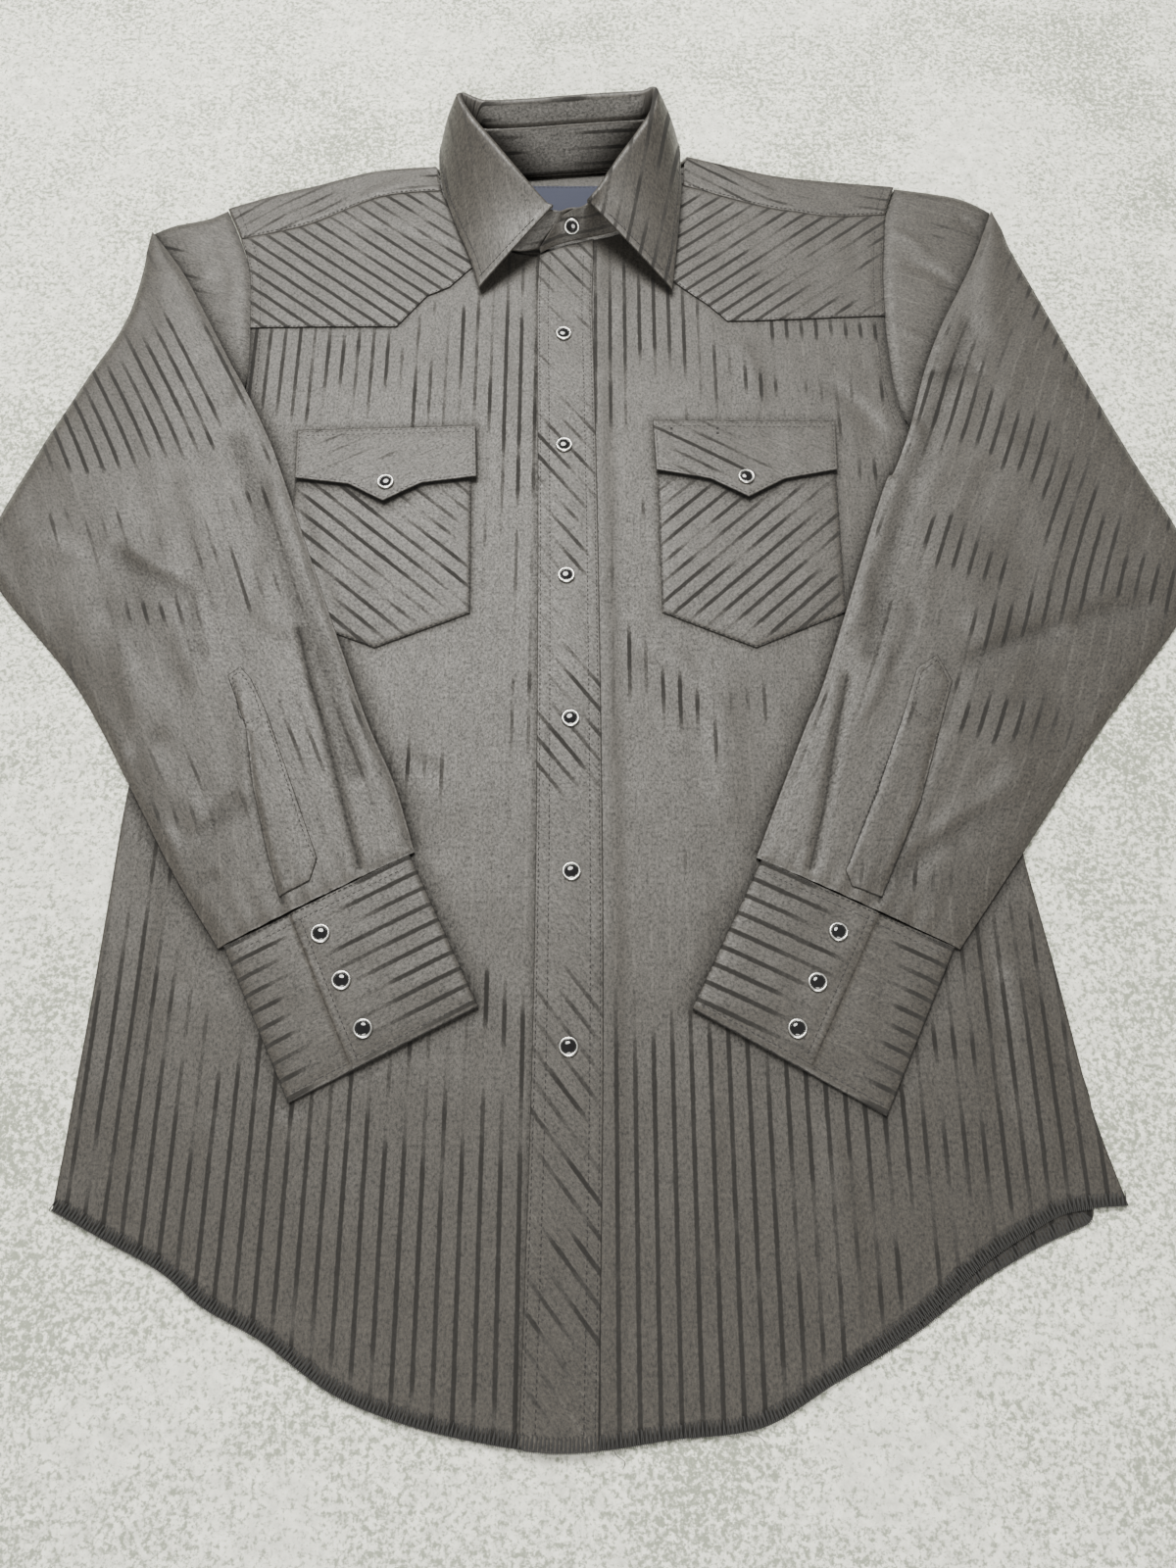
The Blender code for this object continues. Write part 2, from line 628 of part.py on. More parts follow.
def make_fronts():
    """Both fronts, and the placket along the edge of the left one."""
    right, left = front_loops()
    edge = smooth_edge(FRONT_EDGE, CLOTH_GRID)
    placket_side = shifted(edge, PLACKET_WIDTH)
    climb = [shifted(edge, PLACKET_WIDTH + reach) for reach in (OVER_EDGE, OVER_EDGE + RAMP)]
    make_front("right", right, front_low, YOKE_EDGE_RIGHT, POCKET_RIGHT, FLAP_RIGHT, [])
    flat, triangles = make_front(
        "left", left, front_left_low, YOKE_EDGE_LEFT, POCKET_LEFT, FLAP_LEFT, [placket_side] + climb
    )
    strip = faces_within(flat, triangles, edge + placket_side[::-1])
    cloth("placket", flat, strip, on(front_left_low))


def make_back_yoke():
    """The lower half lies on the table, turns at the shoulder folds and comes back to the front seams."""
    fold = smooth_edge(FOLD_RIGHT)[:-1] + smooth_edge(NECK_BACK)[:-1] + smooth_edge(FOLD_LEFT)
    arms = [smooth_edge(ARMHOLE_RIGHT)[::-1], smooth_edge(ARMHOLE_LEFT)[::-1]]
    ends = [ARMHOLE_RIGHT[3], ARMHOLE_LEFT[4]]
    shoulders = [smooth_edge(SHOULDER_RIGHT), smooth_edge(SHOULDER_LEFT)]
    left_neck, right_neck = NECK_BACK[-1], NECK_BACK[0]
    low_z, high_z = WALL / 2, 2 * LAYER + WALL / 2
    radius = (high_z - low_z) / 2
    lower_ends = [[ends[0], fold[0]], [ends[1], fold[-1]]]
    strip_ends = [[SHOULDER_RIGHT[0], fold[0]], [SHOULDER_LEFT[-1], fold[-1]]]
    rows = []
    for x, y in fold:
        share = (x - fold[0][0]) / (fold[-1][0] - fold[0][0])
        turn = Vector((x, y))
        seam = Vector(ends[0]).lerp(Vector(ends[1]), share)
        up = (turn - seam).normalized()
        if x <= right_neck[0]:
            t = (x - fold[0][0]) / (right_neck[0] - fold[0][0])
            front_x = SHOULDER_RIGHT[0][0] + t * (SHOULDER_RIGHT[-1][0] - SHOULDER_RIGHT[0][0])
            front = Vector((front_x, y_at(shoulders[0], front_x)))
        elif x >= left_neck[0]:
            t = (x - left_neck[0]) / (fold[-1][0] - left_neck[0])
            front_x = SHOULDER_LEFT[0][0] + t * (SHOULDER_LEFT[-1][0] - SHOULDER_LEFT[0][0])
            front = Vector((front_x, y_at(shoulders[1], front_x)))
        else:
            front = turn - up * NECK_LIP
        start, finish = seam + up * GAP, front + up * GAP
        row = []
        for part in YOKE_SHARES:
            row.append((start.lerp(turn - up * radius, part), low_z))
        for angle in YOKE_TURN:
            reach = radius * (math.cos(math.radians(angle)) - 1)
            row.append((turn + up * reach, low_z + radius * (1 + math.sin(math.radians(angle)))))
        for part in YOKE_SHARES[::2]:
            row.append(((turn - up * radius).lerp(finish, part), high_z))
        placed = []
        for point, z in row:
            straight = strip_ends if z == high_z else lower_ends
            bulge = [x_at(arm, point.y) - x_at(end, point.y) for arm, end in zip(arms, straight)]
            at_right = (bulge[0] + YOKE_CLEAR) * (1 - share) ** YOKE_END_POWER
            at_left = (bulge[1] - YOKE_CLEAR) * share ** YOKE_END_POWER
            placed.append((point.x + at_right + at_left, point.y, z))
        rows.append(placed)
    ribbon("back_yoke", rows, WALL)


# ================================================================ sleeves
class Sleeve:
    """A sleeve that leaves its armhole outwards and is folded over, so that its back lies on the front."""

    def __init__(self, side):
        self.side = side
        right = side == "right"
        self.out = -1 if right else 1
        self.cuff = CUFF_RIGHT if right else CUFF_LEFT
        self.lap = CUFF_LAP_RIGHT if right else CUFF_LAP_LEFT
        self.tower = TOWER_RIGHT if right else TOWER_LEFT
        self.folds = SLEEVE_FOLDS_RIGHT if right else SLEEVE_FOLDS_LEFT
        self.pocket = POCKET_RIGHT if right else POCKET_LEFT
        self.elbow = ELBOW_RIGHT if right else ELBOW_LEFT
        self.armpit = ARMPIT_RIGHT if right else ARMPIT_LEFT
        inner_corner = Vector(self.cuff[0])
        outer_corner = Vector(self.cuff[1] if right else self.cuff[-1])
        wider = (outer_corner - inner_corner).normalized() * CUFF_EASE
        inner = SLEEVE_INNER_RIGHT if right else SLEEVE_INNER_LEFT
        outer = SLEEVE_OUTER_RIGHT if right else SLEEVE_OUTER_LEFT
        self.inner = smooth_edge(inner + [tuple(inner_corner - wider)])
        self.outer = smooth_edge(outer + [tuple(outer_corner + wider)])
        self.top = smooth_edge(SLEEVE_TOP_RIGHT if right else SLEEVE_TOP_LEFT)
        armhole = smooth_edge(ARMHOLE_RIGHT if right else ARMHOLE_LEFT)
        crossing = CROSSING_RIGHT if right else CROSSING_LEFT
        self.armhole = above(armhole, crossing[1])
        self.fold = above(self.inner, crossing[1])
        self.free = below(self.inner, crossing[1])
        side_edge = smooth_edge(SIDE_RIGHT if right else SIDE_LEFT)
        self.body_edge = below(armhole, crossing[1]) + side_edge[1:]
        self.body = outline(self.body_edge, [(0, side_edge[-1][1]), (0, crossing[1])])
        self.folded = outline(self.inner, self.outer[::-1])
        self.loop = outline(self.armhole, self.free, self.outer[::-1], self.top)

    def on_pocket(self, x, y):
        """How much the pocket under the sleeve lifts it."""
        return LAYER * (1 - ease((outside_by(x, y, self.pocket) - POCKET_CLEAR) / RAMP))

    def low(self, x, y):
        """On the table outside the body, and on the front inside it."""
        over = 2 * LAYER + self.on_pocket(x, y)
        return over * (1 - ease((outside_by(x, y, self.body) - OVER_EDGE) / RAMP))

    def high(self, x, y):
        """Two cloths near the armhole, four past the fold, with air between them."""
        past_fold = distance_to(x, y, self.fold) if inside(x, y, self.folded) else 0.0
        edge = min(distance_to(x, y, self.inner), distance_to(x, y, self.outer))
        pillow = SLEEVE_PILLOW * (1 - math.exp(-edge / SLEEVE_PILLOW_REACH))
        under = y_at(sorted([self.elbow, self.armpit]), x) - y
        sag = SLEEVE_SAG * ease(under / SAG_REACH) * ease(outside_by(x, y, self.body) / SAG_REACH)
        folded = 4 * LAYER - GAP + pillow + self.on_pocket(x, y) - sag
        seam = distance_to(x, y, self.armhole)
        single = 2 * LAYER - GAP + SLEEVE_HEAD * (1 - math.exp(-seam / SLEEVE_HEAD_REACH))
        height = single + (folded - single) * ease(past_fold / FOLD_STEP) + folds_at(x, y, self.folds)
        return max(height, self.low(x, y) + 2 * LAYER - GAP)

    def make(self):
        step = shifted(self.fold[2:], self.out * PAST_FOLD)
        onto = [shifted(self.body_edge, self.out * (CLIMB_START + reach)) for reach in (0, RAMP)]
        tower = straight_edge(self.tower + self.tower[:1], SLEEVE_GRID)
        lines = [self.fold, step, tower] + onto
        lines += [straight_edge([fold[:2], fold[2:4]], SLEEVE_GRID) for fold in self.folds]
        flat, triangles = flat_mesh(self.loop, lines, SLEEVE_GRID)
        wall_between(f"sleeve_{self.side}", flat, triangles, self.low, self.high, joints=(0.5,))
        placket = faces_within(flat, triangles, self.tower)
        cloth(f"sleeve_placket_{self.side}", flat, placket, lambda x, y: self.high(x, y) + GAP)

    def beside_lap(self, x, y):
        """Distance from the line of the cuff's lap, with a sign for the side."""
        (ax, ay), (bx, by) = self.lap
        return ((x - ax) * (by - ay) - (y - ay) * (bx - ax)) / math.dist(*self.lap)

    def cuff_low(self, x, y):
        return 2 * LAYER

    def cuff_high(self, x, y):
        """Two layers with a little air, and a step where the end with the snaps laps over the other."""
        edge = distance_to(x, y, self.cuff + self.cuff[:1])
        past = self.beside_lap(x, y) * math.copysign(1, self.beside_lap(*self.cuff[0]))
        lap = CUFF_LAP * ease(past / LAP_STEP)
        return 4 * LAYER - GAP + CUFF_PILLOW * (1 - math.exp(-edge / CUFF_PILLOW_REACH)) + lap

    def make_cuff(self):
        lap = straight_edge(self.lap, SLEEVE_GRID)
        step = shifted(lap, -self.out * LAP_STEP)
        loop = outline(straight_edge(self.cuff + self.cuff[:1], SLEEVE_GRID))
        flat, triangles = flat_mesh(loop, [lap, step], SLEEVE_GRID)
        wall_between(f"cuff_{self.side}", flat, triangles, self.cuff_low, self.cuff_high, joints=(0.5,))


# ================================================================ collar
def collar_station(t):
    """Base and roll of the collar's wall, and the share of it that is stand, at a station."""
    x, y, z, roll_x, roll_y, roll_z, share = catmull_rom(COLLAR_STATIONS, t)
    return Vector((x, y, z)), Vector((roll_x, roll_y, roll_z)), share


def outwards(t):
    """Directions up the collar's wall and out of it at a station."""
    base, roll, share = collar_station(t)
    up = (roll - base).normalized()
    along = (collar_station(t + NEXT)[1] - collar_station(t - NEXT)[1]).normalized()
    return up, up.cross(along).normalized()


def leaf_edge(t):
    """Point of the leaf's outer edge at a station."""
    stations = [row[0] for row in LEAF_EDGE]
    i = max(k for k in range(len(stations) - 1) if stations[k] <= t + SAME_STATION)
    share = (t - stations[i]) / (stations[i + 1] - stations[i])
    return Vector(catmull_rom([row[1:] for row in LEAF_EDGE], i + share))


def make_collar():
    """The stand is a wall from end to end, and the leaf goes on up, rolls over it and falls outside."""
    count = round((len(COLLAR_STATIONS) - 1) / COLLAR_STEP)
    rows = []
    for k in range(count + 1):
        base, roll, share = collar_station(k * COLLAR_STEP)
        rows.append([base.lerp(roll, share * part) for part in STAND_SHARES])
    ribbon("collar_stand", rows, COLLAR_WALL)
    first, last = LEAF_EDGE[0][0], LEAF_EDGE[-1][0]
    count = round((last - first) / COLLAR_STEP)
    rows = []
    for k in range(count + 1):
        t = first + (last - first) * k / count
        base, roll, share = collar_station(t)
        up, out = outwards(t)
        inwards = ease(min(t - first, last - t) / ROLL_END_REACH)
        radius = ROLL_RADIUS * (ROLL_END_SHARE + (1 - ROLL_END_SHARE) * inwards)
        length = (roll - base).length
        start = share * length + 2 * GAP
        top = max(length - radius - COLLAR_WALL / 2, share * length + LEAF_START)
        row = [base + up * start, base + up * (start + top) / 2]
        centre = base + up * top + out * radius
        for angle in ROLL_ANGLES:
            turn = math.radians(angle)
            row.append(centre - out * radius * math.cos(turn) + up * radius * math.sin(turn))
        fall, edge = row[-1], leaf_edge(t)
        for part in LEAF_SHARES:
            row.append(fall.lerp(edge, part) + out * LEAF_BELLY * math.sin(math.pi * part))
        rows.append(row)
    ribbon("collar_leaf", rows, COLLAR_WALL)


# ================================================================ snaps
def turned(name, profile, centre, axis, finish, closed):
    """A turned piece: a ring from a closed profile, or a solid whose profile ends on its axis."""
    turn = Vector((0, 0, 1)).rotation_difference(axis)
    vertices = []
    for radius, z in profile:
        for k in range(SNAP_SIDES):
            angle = 2 * math.pi * k / SNAP_SIDES
            local = Vector((radius * math.cos(angle), radius * math.sin(angle), z))
            vertices.append(tuple(Vector(centre) + turn @ local))
    rings = [list(range(i * SNAP_SIDES, (i + 1) * SNAP_SIDES)) for i in range(len(profile))]
    faces = []
    for one, two in zip(rings, rings[1:] + (rings[:1] if closed else [])):
        for k in range(SNAP_SIDES):
            after = (k + 1) % SNAP_SIDES
            faces.append((one[k], one[after], two[after], two[k]))
    if not closed:
        faces += [tuple(reversed(rings[0])), tuple(rings[-1])]
    new_object(name, vertices, faces, finish)


def make_snap(name, centre, axis):
    """A pearl snap: a prong ring with a domed cap in it."""
    turned(f"snap_ring_{name}", RING_PROFILE, centre, axis, "metal", True)
    turned(f"snap_cap_{name}", CAP_PROFILE, centre, axis, "pearl", False)


def snap_on(name, place, high):
    """A snap on a cloth's top side, square to it."""
    x, y = place
    slope = [(high(x + 1, y) - high(x - 1, y)) / 2, (high(x, y + 1) - high(x, y - 1)) / 2]
    make_snap(name, (x, y, high(x, y) + GAP), Vector((-slope[0], -slope[1], 1)).normalized())


def make_snaps(sleeves):
    for k, place in enumerate(SNAPS_PLACKET):
        snap_on(f"placket_{k + 1}", place, lambda x, y: on(front_left_low)(x, y) + WALL)
    for side, place, flap, low in (
        ("right", SNAP_FLAP_RIGHT, FLAP_RIGHT, front_low),
        ("left", SNAP_FLAP_LEFT, FLAP_LEFT, front_left_low),
    ):
        snap_on(f"flap_{side}", place, lambda x, y: flap_low(flap, low)(x, y) + WALL)
    for sleeve, places in zip(sleeves, (SNAPS_CUFF_RIGHT, SNAPS_CUFF_LEFT)):
        for k, place in enumerate(places):
            snap_on(f"cuff_{sleeve.side}_{k + 1}", place, sleeve.cuff_high)
    base, roll, share = collar_station(NECK_SNAP_STATION)
    up, out = outwards(NECK_SNAP_STATION)
    make_snap("neck", base.lerp(roll, NECK_SNAP_SHARE) + out * (COLLAR_WALL / 2 + NECK_SNAP_LIFT), out)


def main():
    for old in list(bpy.data.objects):
        bpy.data.objects.remove(old, do_unlink=True)
    make_back()
    make_back_yoke()
    make_fronts()
    label = outline(straight_edge(LABEL + LABEL[:1], CLOTH_GRID))
    cloth("neck_label", *flat_mesh(label, [], CLOTH_GRID), lambda x, y: LAYER, finish="label")
    sleeves = [Sleeve("right"), Sleeve("left")]
    for sleeve in sleeves:
        sleeve.make()
        sleeve.make_cuff()
    make_collar()
    make_snaps(sleeves)


main()
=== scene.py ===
"""Dresses the western snap shirt: striped cloth, sewing, snaps, floor, light and camera.

The solids of the part are loaded as a fixed frame. Each cloth solid is replaced by a finer piece in the
same place, cut from the same edges. The tables hold millimetres: x runs across the shirt with the wearer's
left at +x, y runs up it from the level of the hem's side corners, and z is the height over the table. The
frame's origin is under MIDDLE.
"""

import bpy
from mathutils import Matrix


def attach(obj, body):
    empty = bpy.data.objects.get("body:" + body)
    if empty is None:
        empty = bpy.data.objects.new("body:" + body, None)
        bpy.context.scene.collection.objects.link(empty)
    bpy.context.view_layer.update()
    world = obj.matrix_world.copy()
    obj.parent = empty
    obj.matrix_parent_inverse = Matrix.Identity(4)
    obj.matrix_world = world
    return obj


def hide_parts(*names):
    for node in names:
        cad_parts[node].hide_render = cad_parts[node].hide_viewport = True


bl_info = {
    "name": "Western Snap Shirt",
    "version": (1, 0, 0),
    "blender": (4, 5, 0),
    "location": "3D View > Sidebar > Shirt",
    "description": "Cuts, sews and lights a striped western shirt that lies flat",
    "category": "Object",
}

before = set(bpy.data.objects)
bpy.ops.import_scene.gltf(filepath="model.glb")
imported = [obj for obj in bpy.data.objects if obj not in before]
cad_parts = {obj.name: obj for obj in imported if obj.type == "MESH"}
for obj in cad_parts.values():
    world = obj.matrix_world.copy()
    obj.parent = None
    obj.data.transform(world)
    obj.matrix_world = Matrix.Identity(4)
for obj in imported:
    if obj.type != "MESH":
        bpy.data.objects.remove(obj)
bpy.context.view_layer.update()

import math
import random

import bpy
import numpy as np
from bpy.props import FloatProperty, FloatVectorProperty, PointerProperty
from mathutils import Vector
from mathutils.geometry import delaunay_2d_cdt

# ---- sizes shared with the solids, millimetres
MM = 0.001
MIDDLE = (0.0, 320.5)
WALL = 1.0
GAP = 0.3
LAYER = WALL + GAP
COLLAR_WALL = 1.5
RAMP = 12.0
OVER_EDGE = 2.0
PLACKET_WIDTH = 37.0
FLAP_LIFT = 2.6
POCKET_CLEAR = 8.0
SLEEVE_PILLOW = 2.8
SLEEVE_PILLOW_REACH = 26.0
SLEEVE_HEAD = 1.2
SLEEVE_HEAD_REACH = 10.0
SLEEVE_SAG = 1.6
SAG_REACH = 40.0
CUFF_EASE = 3.0
CUFF_PILLOW = 1.4
CUFF_PILLOW_REACH = 10.0
CUFF_LAP = 1.2
NECK_LIP = 3.0
YOKE_CLEAR = 0.5
ROLL_RADIUS = 2.6
ROLL_END_SHARE = 0.5
ROLL_END_REACH = 2.5
LEAF_START = 1.1
LEAF_BELLY = 1.6

# ---- edges of the body: x, y
HEM = [
    (-265, 13), (-234.5, -2), (-207, -15.5), (-185, -31), (-155, -46), (-123, -66.5), (-94.5, -78),
    (-60, -86.5), (-21, -92), (9.5, -91), (40, -87), (80.5, -82), (116.5, -63), (155, -39.5), (190, -13),
    (212, 0.5), (232, 10.7), (246, 13.5), (267, 15),
]
HEM_BACK = [
    (-263, 14), (-207, -14), (-155, -44.5), (-94.5, -74), (-21, -88), (40, -85.5), (80.5, -82.5),
    (116.5, -64), (155.6, -43), (188, -21.5), (216.7, -6), (234, 1.6), (246.5, 6.8), (249.5, 10.5),
]
SIDE_RIGHT = [(-245, 440), (-252, 340), (-258, 238), (-260.2, 128), (-264, 14)]
SIDE_LEFT = [
    (219, 440), (230, 320), (239, 200), (247, 137), (252.5, 90), (256.5, 59), (261.5, 36), (267, 15),
]
ARMHOLE_RIGHT = [(-249, 664), (-237, 636), (-228, 607), (-223, 560), (-221, 511), (-227, 472), (-245, 440)]
ARMHOLE_LEFT = [
    (213.5, 684), (205, 658), (202, 636), (198.5, 605), (197, 570), (197, 540), (198.5, 510), (204, 480),
    (219, 440),
]
FOLD_RIGHT = [(-249, 664), (-218, 676), (-188, 685.5), (-149, 698.5), (-107, 703)]
FOLD_LEFT = [(70, 712.5), (89, 706.5), (129, 694.5), (166, 689), (213.5, 684)]
NECK_BACK = [(-107, 703), (-99, 698), (-60, 695), (-16, 698), (30, 701), (60, 704), (70, 712.5)]
SHOULDER_RIGHT = [(-237, 636), (-192, 649), (-144, 674), (-102, 680)]
SHOULDER_LEFT = [(66, 685), (118, 666), (145, 660), (170, 656), (205, 658)]
NECK_RIGHT = [(-102, 680), (-94, 663), (-77, 643), (-58, 629), (-46, 624.5), (-34, 622.5)]
NECK_LEFT = [(4, 635.5), (24, 643.5), (41, 653.5), (54, 667), (66, 685)]
FRONT_EDGE = [
    (-33, 622.5), (-34, 580), (-33.5, 552), (-31.5, 450), (-30, 338), (-28.8, 188), (-29.3, 62), (-32, -89),
]

# ---- what is laid on the fronts: x, y
YOKE_EDGE_RIGHT = [(-223, 560), (-126, 561), (-107, 586.6), (-92.4, 594.4), (-80, 609), (-58, 629)]
YOKE_EDGE_LEFT = [
    (24, 643.5), (40, 618), (58, 598), (64.5, 592), (78.5, 580), (92, 565.5), (109, 565.5), (197, 570),
]
POCKET_RIGHT = [(-183, 462), (-181, 346), (-125.3, 323.3), (-70, 346.6), (-73, 462)]
POCKET_LEFT = [(43, 466), (44, 347), (98.6, 323.3), (153.4, 347), (155, 466)]
FLAP_RIGHT = [(-184, 477), (-182, 440), (-148, 435), (-126, 422.5), (-103, 436), (-69, 441), (-71, 481)]
FLAP_LEFT = [(41, 485), (42.3, 446), (76, 439), (99, 425.6), (122, 439), (155.4, 446), (157, 484)]
LABEL = [(-45, 656), (10, 656), (10, 686), (-45, 686)]

# ---- sleeves: x, y
SLEEVE_TOP_RIGHT = [(-298, 643), (-284, 650), (-262, 656), (-249, 664)]
SLEEVE_TOP_LEFT = [(278, 662), (261, 673), (239.5, 679), (213.5, 684)]
SLEEVE_OUTER_RIGHT = [
    (-298, 643), (-304.5, 572), (-325, 517), (-344, 467), (-361, 417), (-367, 388), (-352, 361),
    (-299, 301), (-258, 238), (-227, 187),
]
SLEEVE_OUTER_LEFT = [
    (278, 662), (288, 625), (303.5, 576), (318, 530), (341, 460), (359.5, 409), (367, 375), (350, 340),
    (295, 273), (251, 213.5),
]
SLEEVE_INNER_RIGHT = [
    (-298, 643), (-272, 606), (-251, 567), (-232, 531), (-221, 511), (-205, 479), (-191, 446),
    (-146, 327), (-126, 276), (-108, 237),
]
SLEEVE_INNER_LEFT = [
    (278, 662), (261, 619), (248, 592), (232, 560), (218, 525), (204, 480), (191, 447), (183, 434),
    (152, 345), (135, 297), (125, 275), (110, 239),
]
CROSSING_RIGHT = (-221, 511)         # where the folded sleeve comes onto the body
CROSSING_LEFT = (204, 480)
ARMPIT_RIGHT = (-245, 440)
ARMPIT_LEFT = (219, 440)
ELBOW_RIGHT = (-367, 388)
ELBOW_LEFT = (367, 375)
CUFF_RIGHT = [(-97.5, 196), (-194, 145), (-152, 64), (-57, 113)]
CUFF_LEFT = [(94.5, 193), (54, 112), (151, 57.5), (195, 144.5)]
CUFF_LAP_RIGHT = [(-159, 160), (-121, 81)]
CUFF_LAP_LEFT = [(115, 83), (156, 162)]
TOWER_RIGHT = [
    (-208, 303), (-194, 270), (-187, 236), (-176, 199), (-166, 171), (-150, 180), (-147, 193), (-182.5, 279),
    (-194, 301), (-201, 309),
]
TOWER_LEFT = [
    (181, 283), (160, 231), (139, 186), (142, 177), (158, 171), (184, 225), (199, 268), (210, 300),
    (203, 317),
    (190, 308),
]

# ---- snaps: x, y
SNAPS_PLACKET = [(-16, 553), (-15, 465), (-13, 371), (-10, 277), (-9, 186), (-10, 92)]
SNAP_FLAP_RIGHT = (-125, 436)
SNAP_FLAP_LEFT = (98, 440)
SNAPS_CUFF_RIGHT = [(-142, 151), (-129, 126), (-116, 101)]
SNAPS_CUFF_LEFT = [(133, 152), (120, 125), (108, 101)]
NECK_SNAP_STATION = 19.0     # on the collar stand, by its table
NECK_SNAP_SHARE = 0.52       # and up its wall
NECK_SNAP_LIFT = 1.6         # off the curve of that wall

# ---- folds: x0, y0, x1, y1, half width, height
FRONT_FOLDS = [
    (226, 125, 234, 45, 15, 1.8),
    (-216, 112, -228, 20, 16, 1.6),
    (-122, 20, -132, -45, 22, 1.2),
    (122, 20, 132, -45, 22, 1.2),
    (-88, 303, -80, 225, 20, 1.2),
    (76, 303, 80, 225, 18, 1.1),
]
SLEEVE_FOLDS_RIGHT = [
    (-285, 600, -262, 540, 16, 1.6),
    (-330, 470, -285, 400, 24, 1.8),
    (-262, 372, -226, 305, 17, 2.2),
    (-240, 430, -205, 360, 22, 1.6),
    (-300, 335, -255, 285, 17, 1.6),
    (-243, 250, -216, 216, 13, 1.8),
]
SLEEVE_FOLDS_LEFT = [
    (270, 635, 264, 560, 15, 1.8),
    (232, 505, 300, 512, 14, 2.2),
    (210, 440, 262, 465, 17, 1.6),
    (232, 338, 318, 362, 16, 2.4),
    (205, 395, 250, 400, 20, 1.4),
    (196, 208, 240, 240, 13, 2.0),
]

# ---- collar, from the under end round the back
# base x, y, z; roll x, y, z; share of the wall that is stand
COLLAR_STATIONS = [
    (3, 638.5, 4.0, 3, 645.5, 20.5, 1.0),
    (-14, 634.5, 3.8, -11, 645.0, 21.5, 1.0),
    (-30, 628.5, 4.0, -20, 640.5, 23.0, 1.0),
    (-50, 625.0, 4.3, -31, 649.0, 27.0, 0.84),
    (-74, 639.5, 4.6, -44, 663.0, 33.0, 0.76),
    (-92, 660.5, 4.7, -62, 684.0, 40.0, 0.70),
    (-98, 680.0, 4.7, -78, 704.0, 45.0, 0.66),
    (-91, 690.0, 4.7, -85, 719.0, 47.5, 0.64),
    (-70, 691.0, 4.7, -70, 714.5, 45.5, 0.64),
    (-42.5, 692.8, 4.7, -42, 715.5, 45.5, 0.64),
    (-16, 695.5, 4.7, -16, 717.5, 46.0, 0.64),
    (11, 698.0, 4.7, 11, 719.5, 46.5, 0.64),
    (36, 699.5, 4.7, 36, 721.0, 47.0, 0.64),
    (53, 698.5, 4.7, 43.5, 723.0, 48.0, 0.64),
    (60, 685.0, 4.7, 41, 707.0, 45.0, 0.66),
    (53, 667.0, 4.7, 31.5, 692.0, 40.0, 0.70),
    (36, 650.0, 4.6, 18, 673.0, 35.0, 0.77),
    (15, 640.5, 4.5, 6.5, 654.0, 31.0, 0.87),
    (0, 635.4, 5.6, -1, 641.6, 27.5, 1.0),
    (-10, 632.2, 5.9, -11, 641.0, 23.0, 1.0),
    (-18.5, 629.3, 5.9, -20, 638.5, 18.0, 1.0),
    (-26, 625.6, 5.9, -27.5, 629.5, 12.5, 1.0),
    (-32, 621.5, 5.9, -32.6, 622.5, 8.4, 1.0),
]
# station; outer edge x, y, z of the leaf
LEAF_EDGE = [
    (2.35, -72.5, 589, 8.5),
    (3, -79.3, 614, 8.5),
    (4, -89.3, 641.5, 9.0),
    (5, -97.8, 668.5, 10.0),
    (6, -102.7, 693, 12.0),
    (7, -100, 713, 12.0),
    (8, -80, 727, 8.0),
    (9, -45, 729.5, 6.5),
    (10, -16, 730, 6.5),
    (11, 12, 731, 6.5),
    (12, 43, 730, 7.5),
    (13, 61.5, 713, 12.0),
    (14, 63.5, 692, 14.0),
    (15, 63.7, 671.5, 11.5),
    (16, 61.8, 646.5, 9.8),
    (17, 58.8, 615.5, 8.8),
    (17.9, 55.8, 588, 8.5),
]


# ---- finer mesh of the same forms
SOFT_EDGE = (0.7, 0.42, 0.22)        # reach, drop and rise of a rounded cloth edge
FOLDED_EDGE = (2.6, 2.4, 0.6)        # and of a fold
TUCKED_EDGE = (1.6, 0.4, 0.3)        # and of a strip sewn flat
SPINE_LOW, SPINE_HIGH, SPINE_STEP = 160.0, 720.0, 2.0    # the line that a sleeve's stripes follow
SPINE_EVEN = 40                      # and the steps over which it is evened out
UNDER_REACH = 10.0                   # how far the sleeve's head goes on under its folded part
YOKE_SHARES = (0.0, 0.2, 0.4, 0.6, 0.8, 1.0)
YOKE_TURN = (-70, -45, -20, 0, 20, 45, 70)
YOKE_FRONT_SHARES = (0.0, 0.12, 0.25, 0.38, 0.5, 0.62, 0.75, 0.86, 0.94, 1.0)
STAND_FINE = (0.0, 0.06, 0.2, 0.35, 0.5, 0.65, 0.8, 0.94, 1.0)
CORNERS = (7.0, 12.9)                # stations of the collar's back corners
CORNER_REACH = 0.9
CORNER_PINCH = 0.45
LEAF_MIDDLE = 10.0                   # station in the middle of the back
LEAF_LEAN = math.radians(11)         # of the stripes on the leaf's two sides
LEAF_TURN = (0, 20, 40, 60, 80, 100, 120, 145, 170)
LEAF_FINE = (0.08, 0.18, 0.3, 0.42, 0.54, 0.66, 0.77, 0.86, 0.92, 0.96, 0.985, 1.0)
RING_FINE = (
    (3.85, 0.0), (4.6, 0.0), (4.95, 0.12), (5.1, 0.45), (5.05, 0.9), (4.85, 1.25), (4.55, 1.42), (4.25, 1.38),
    (4.0, 1.2), (3.85, 0.8),
)
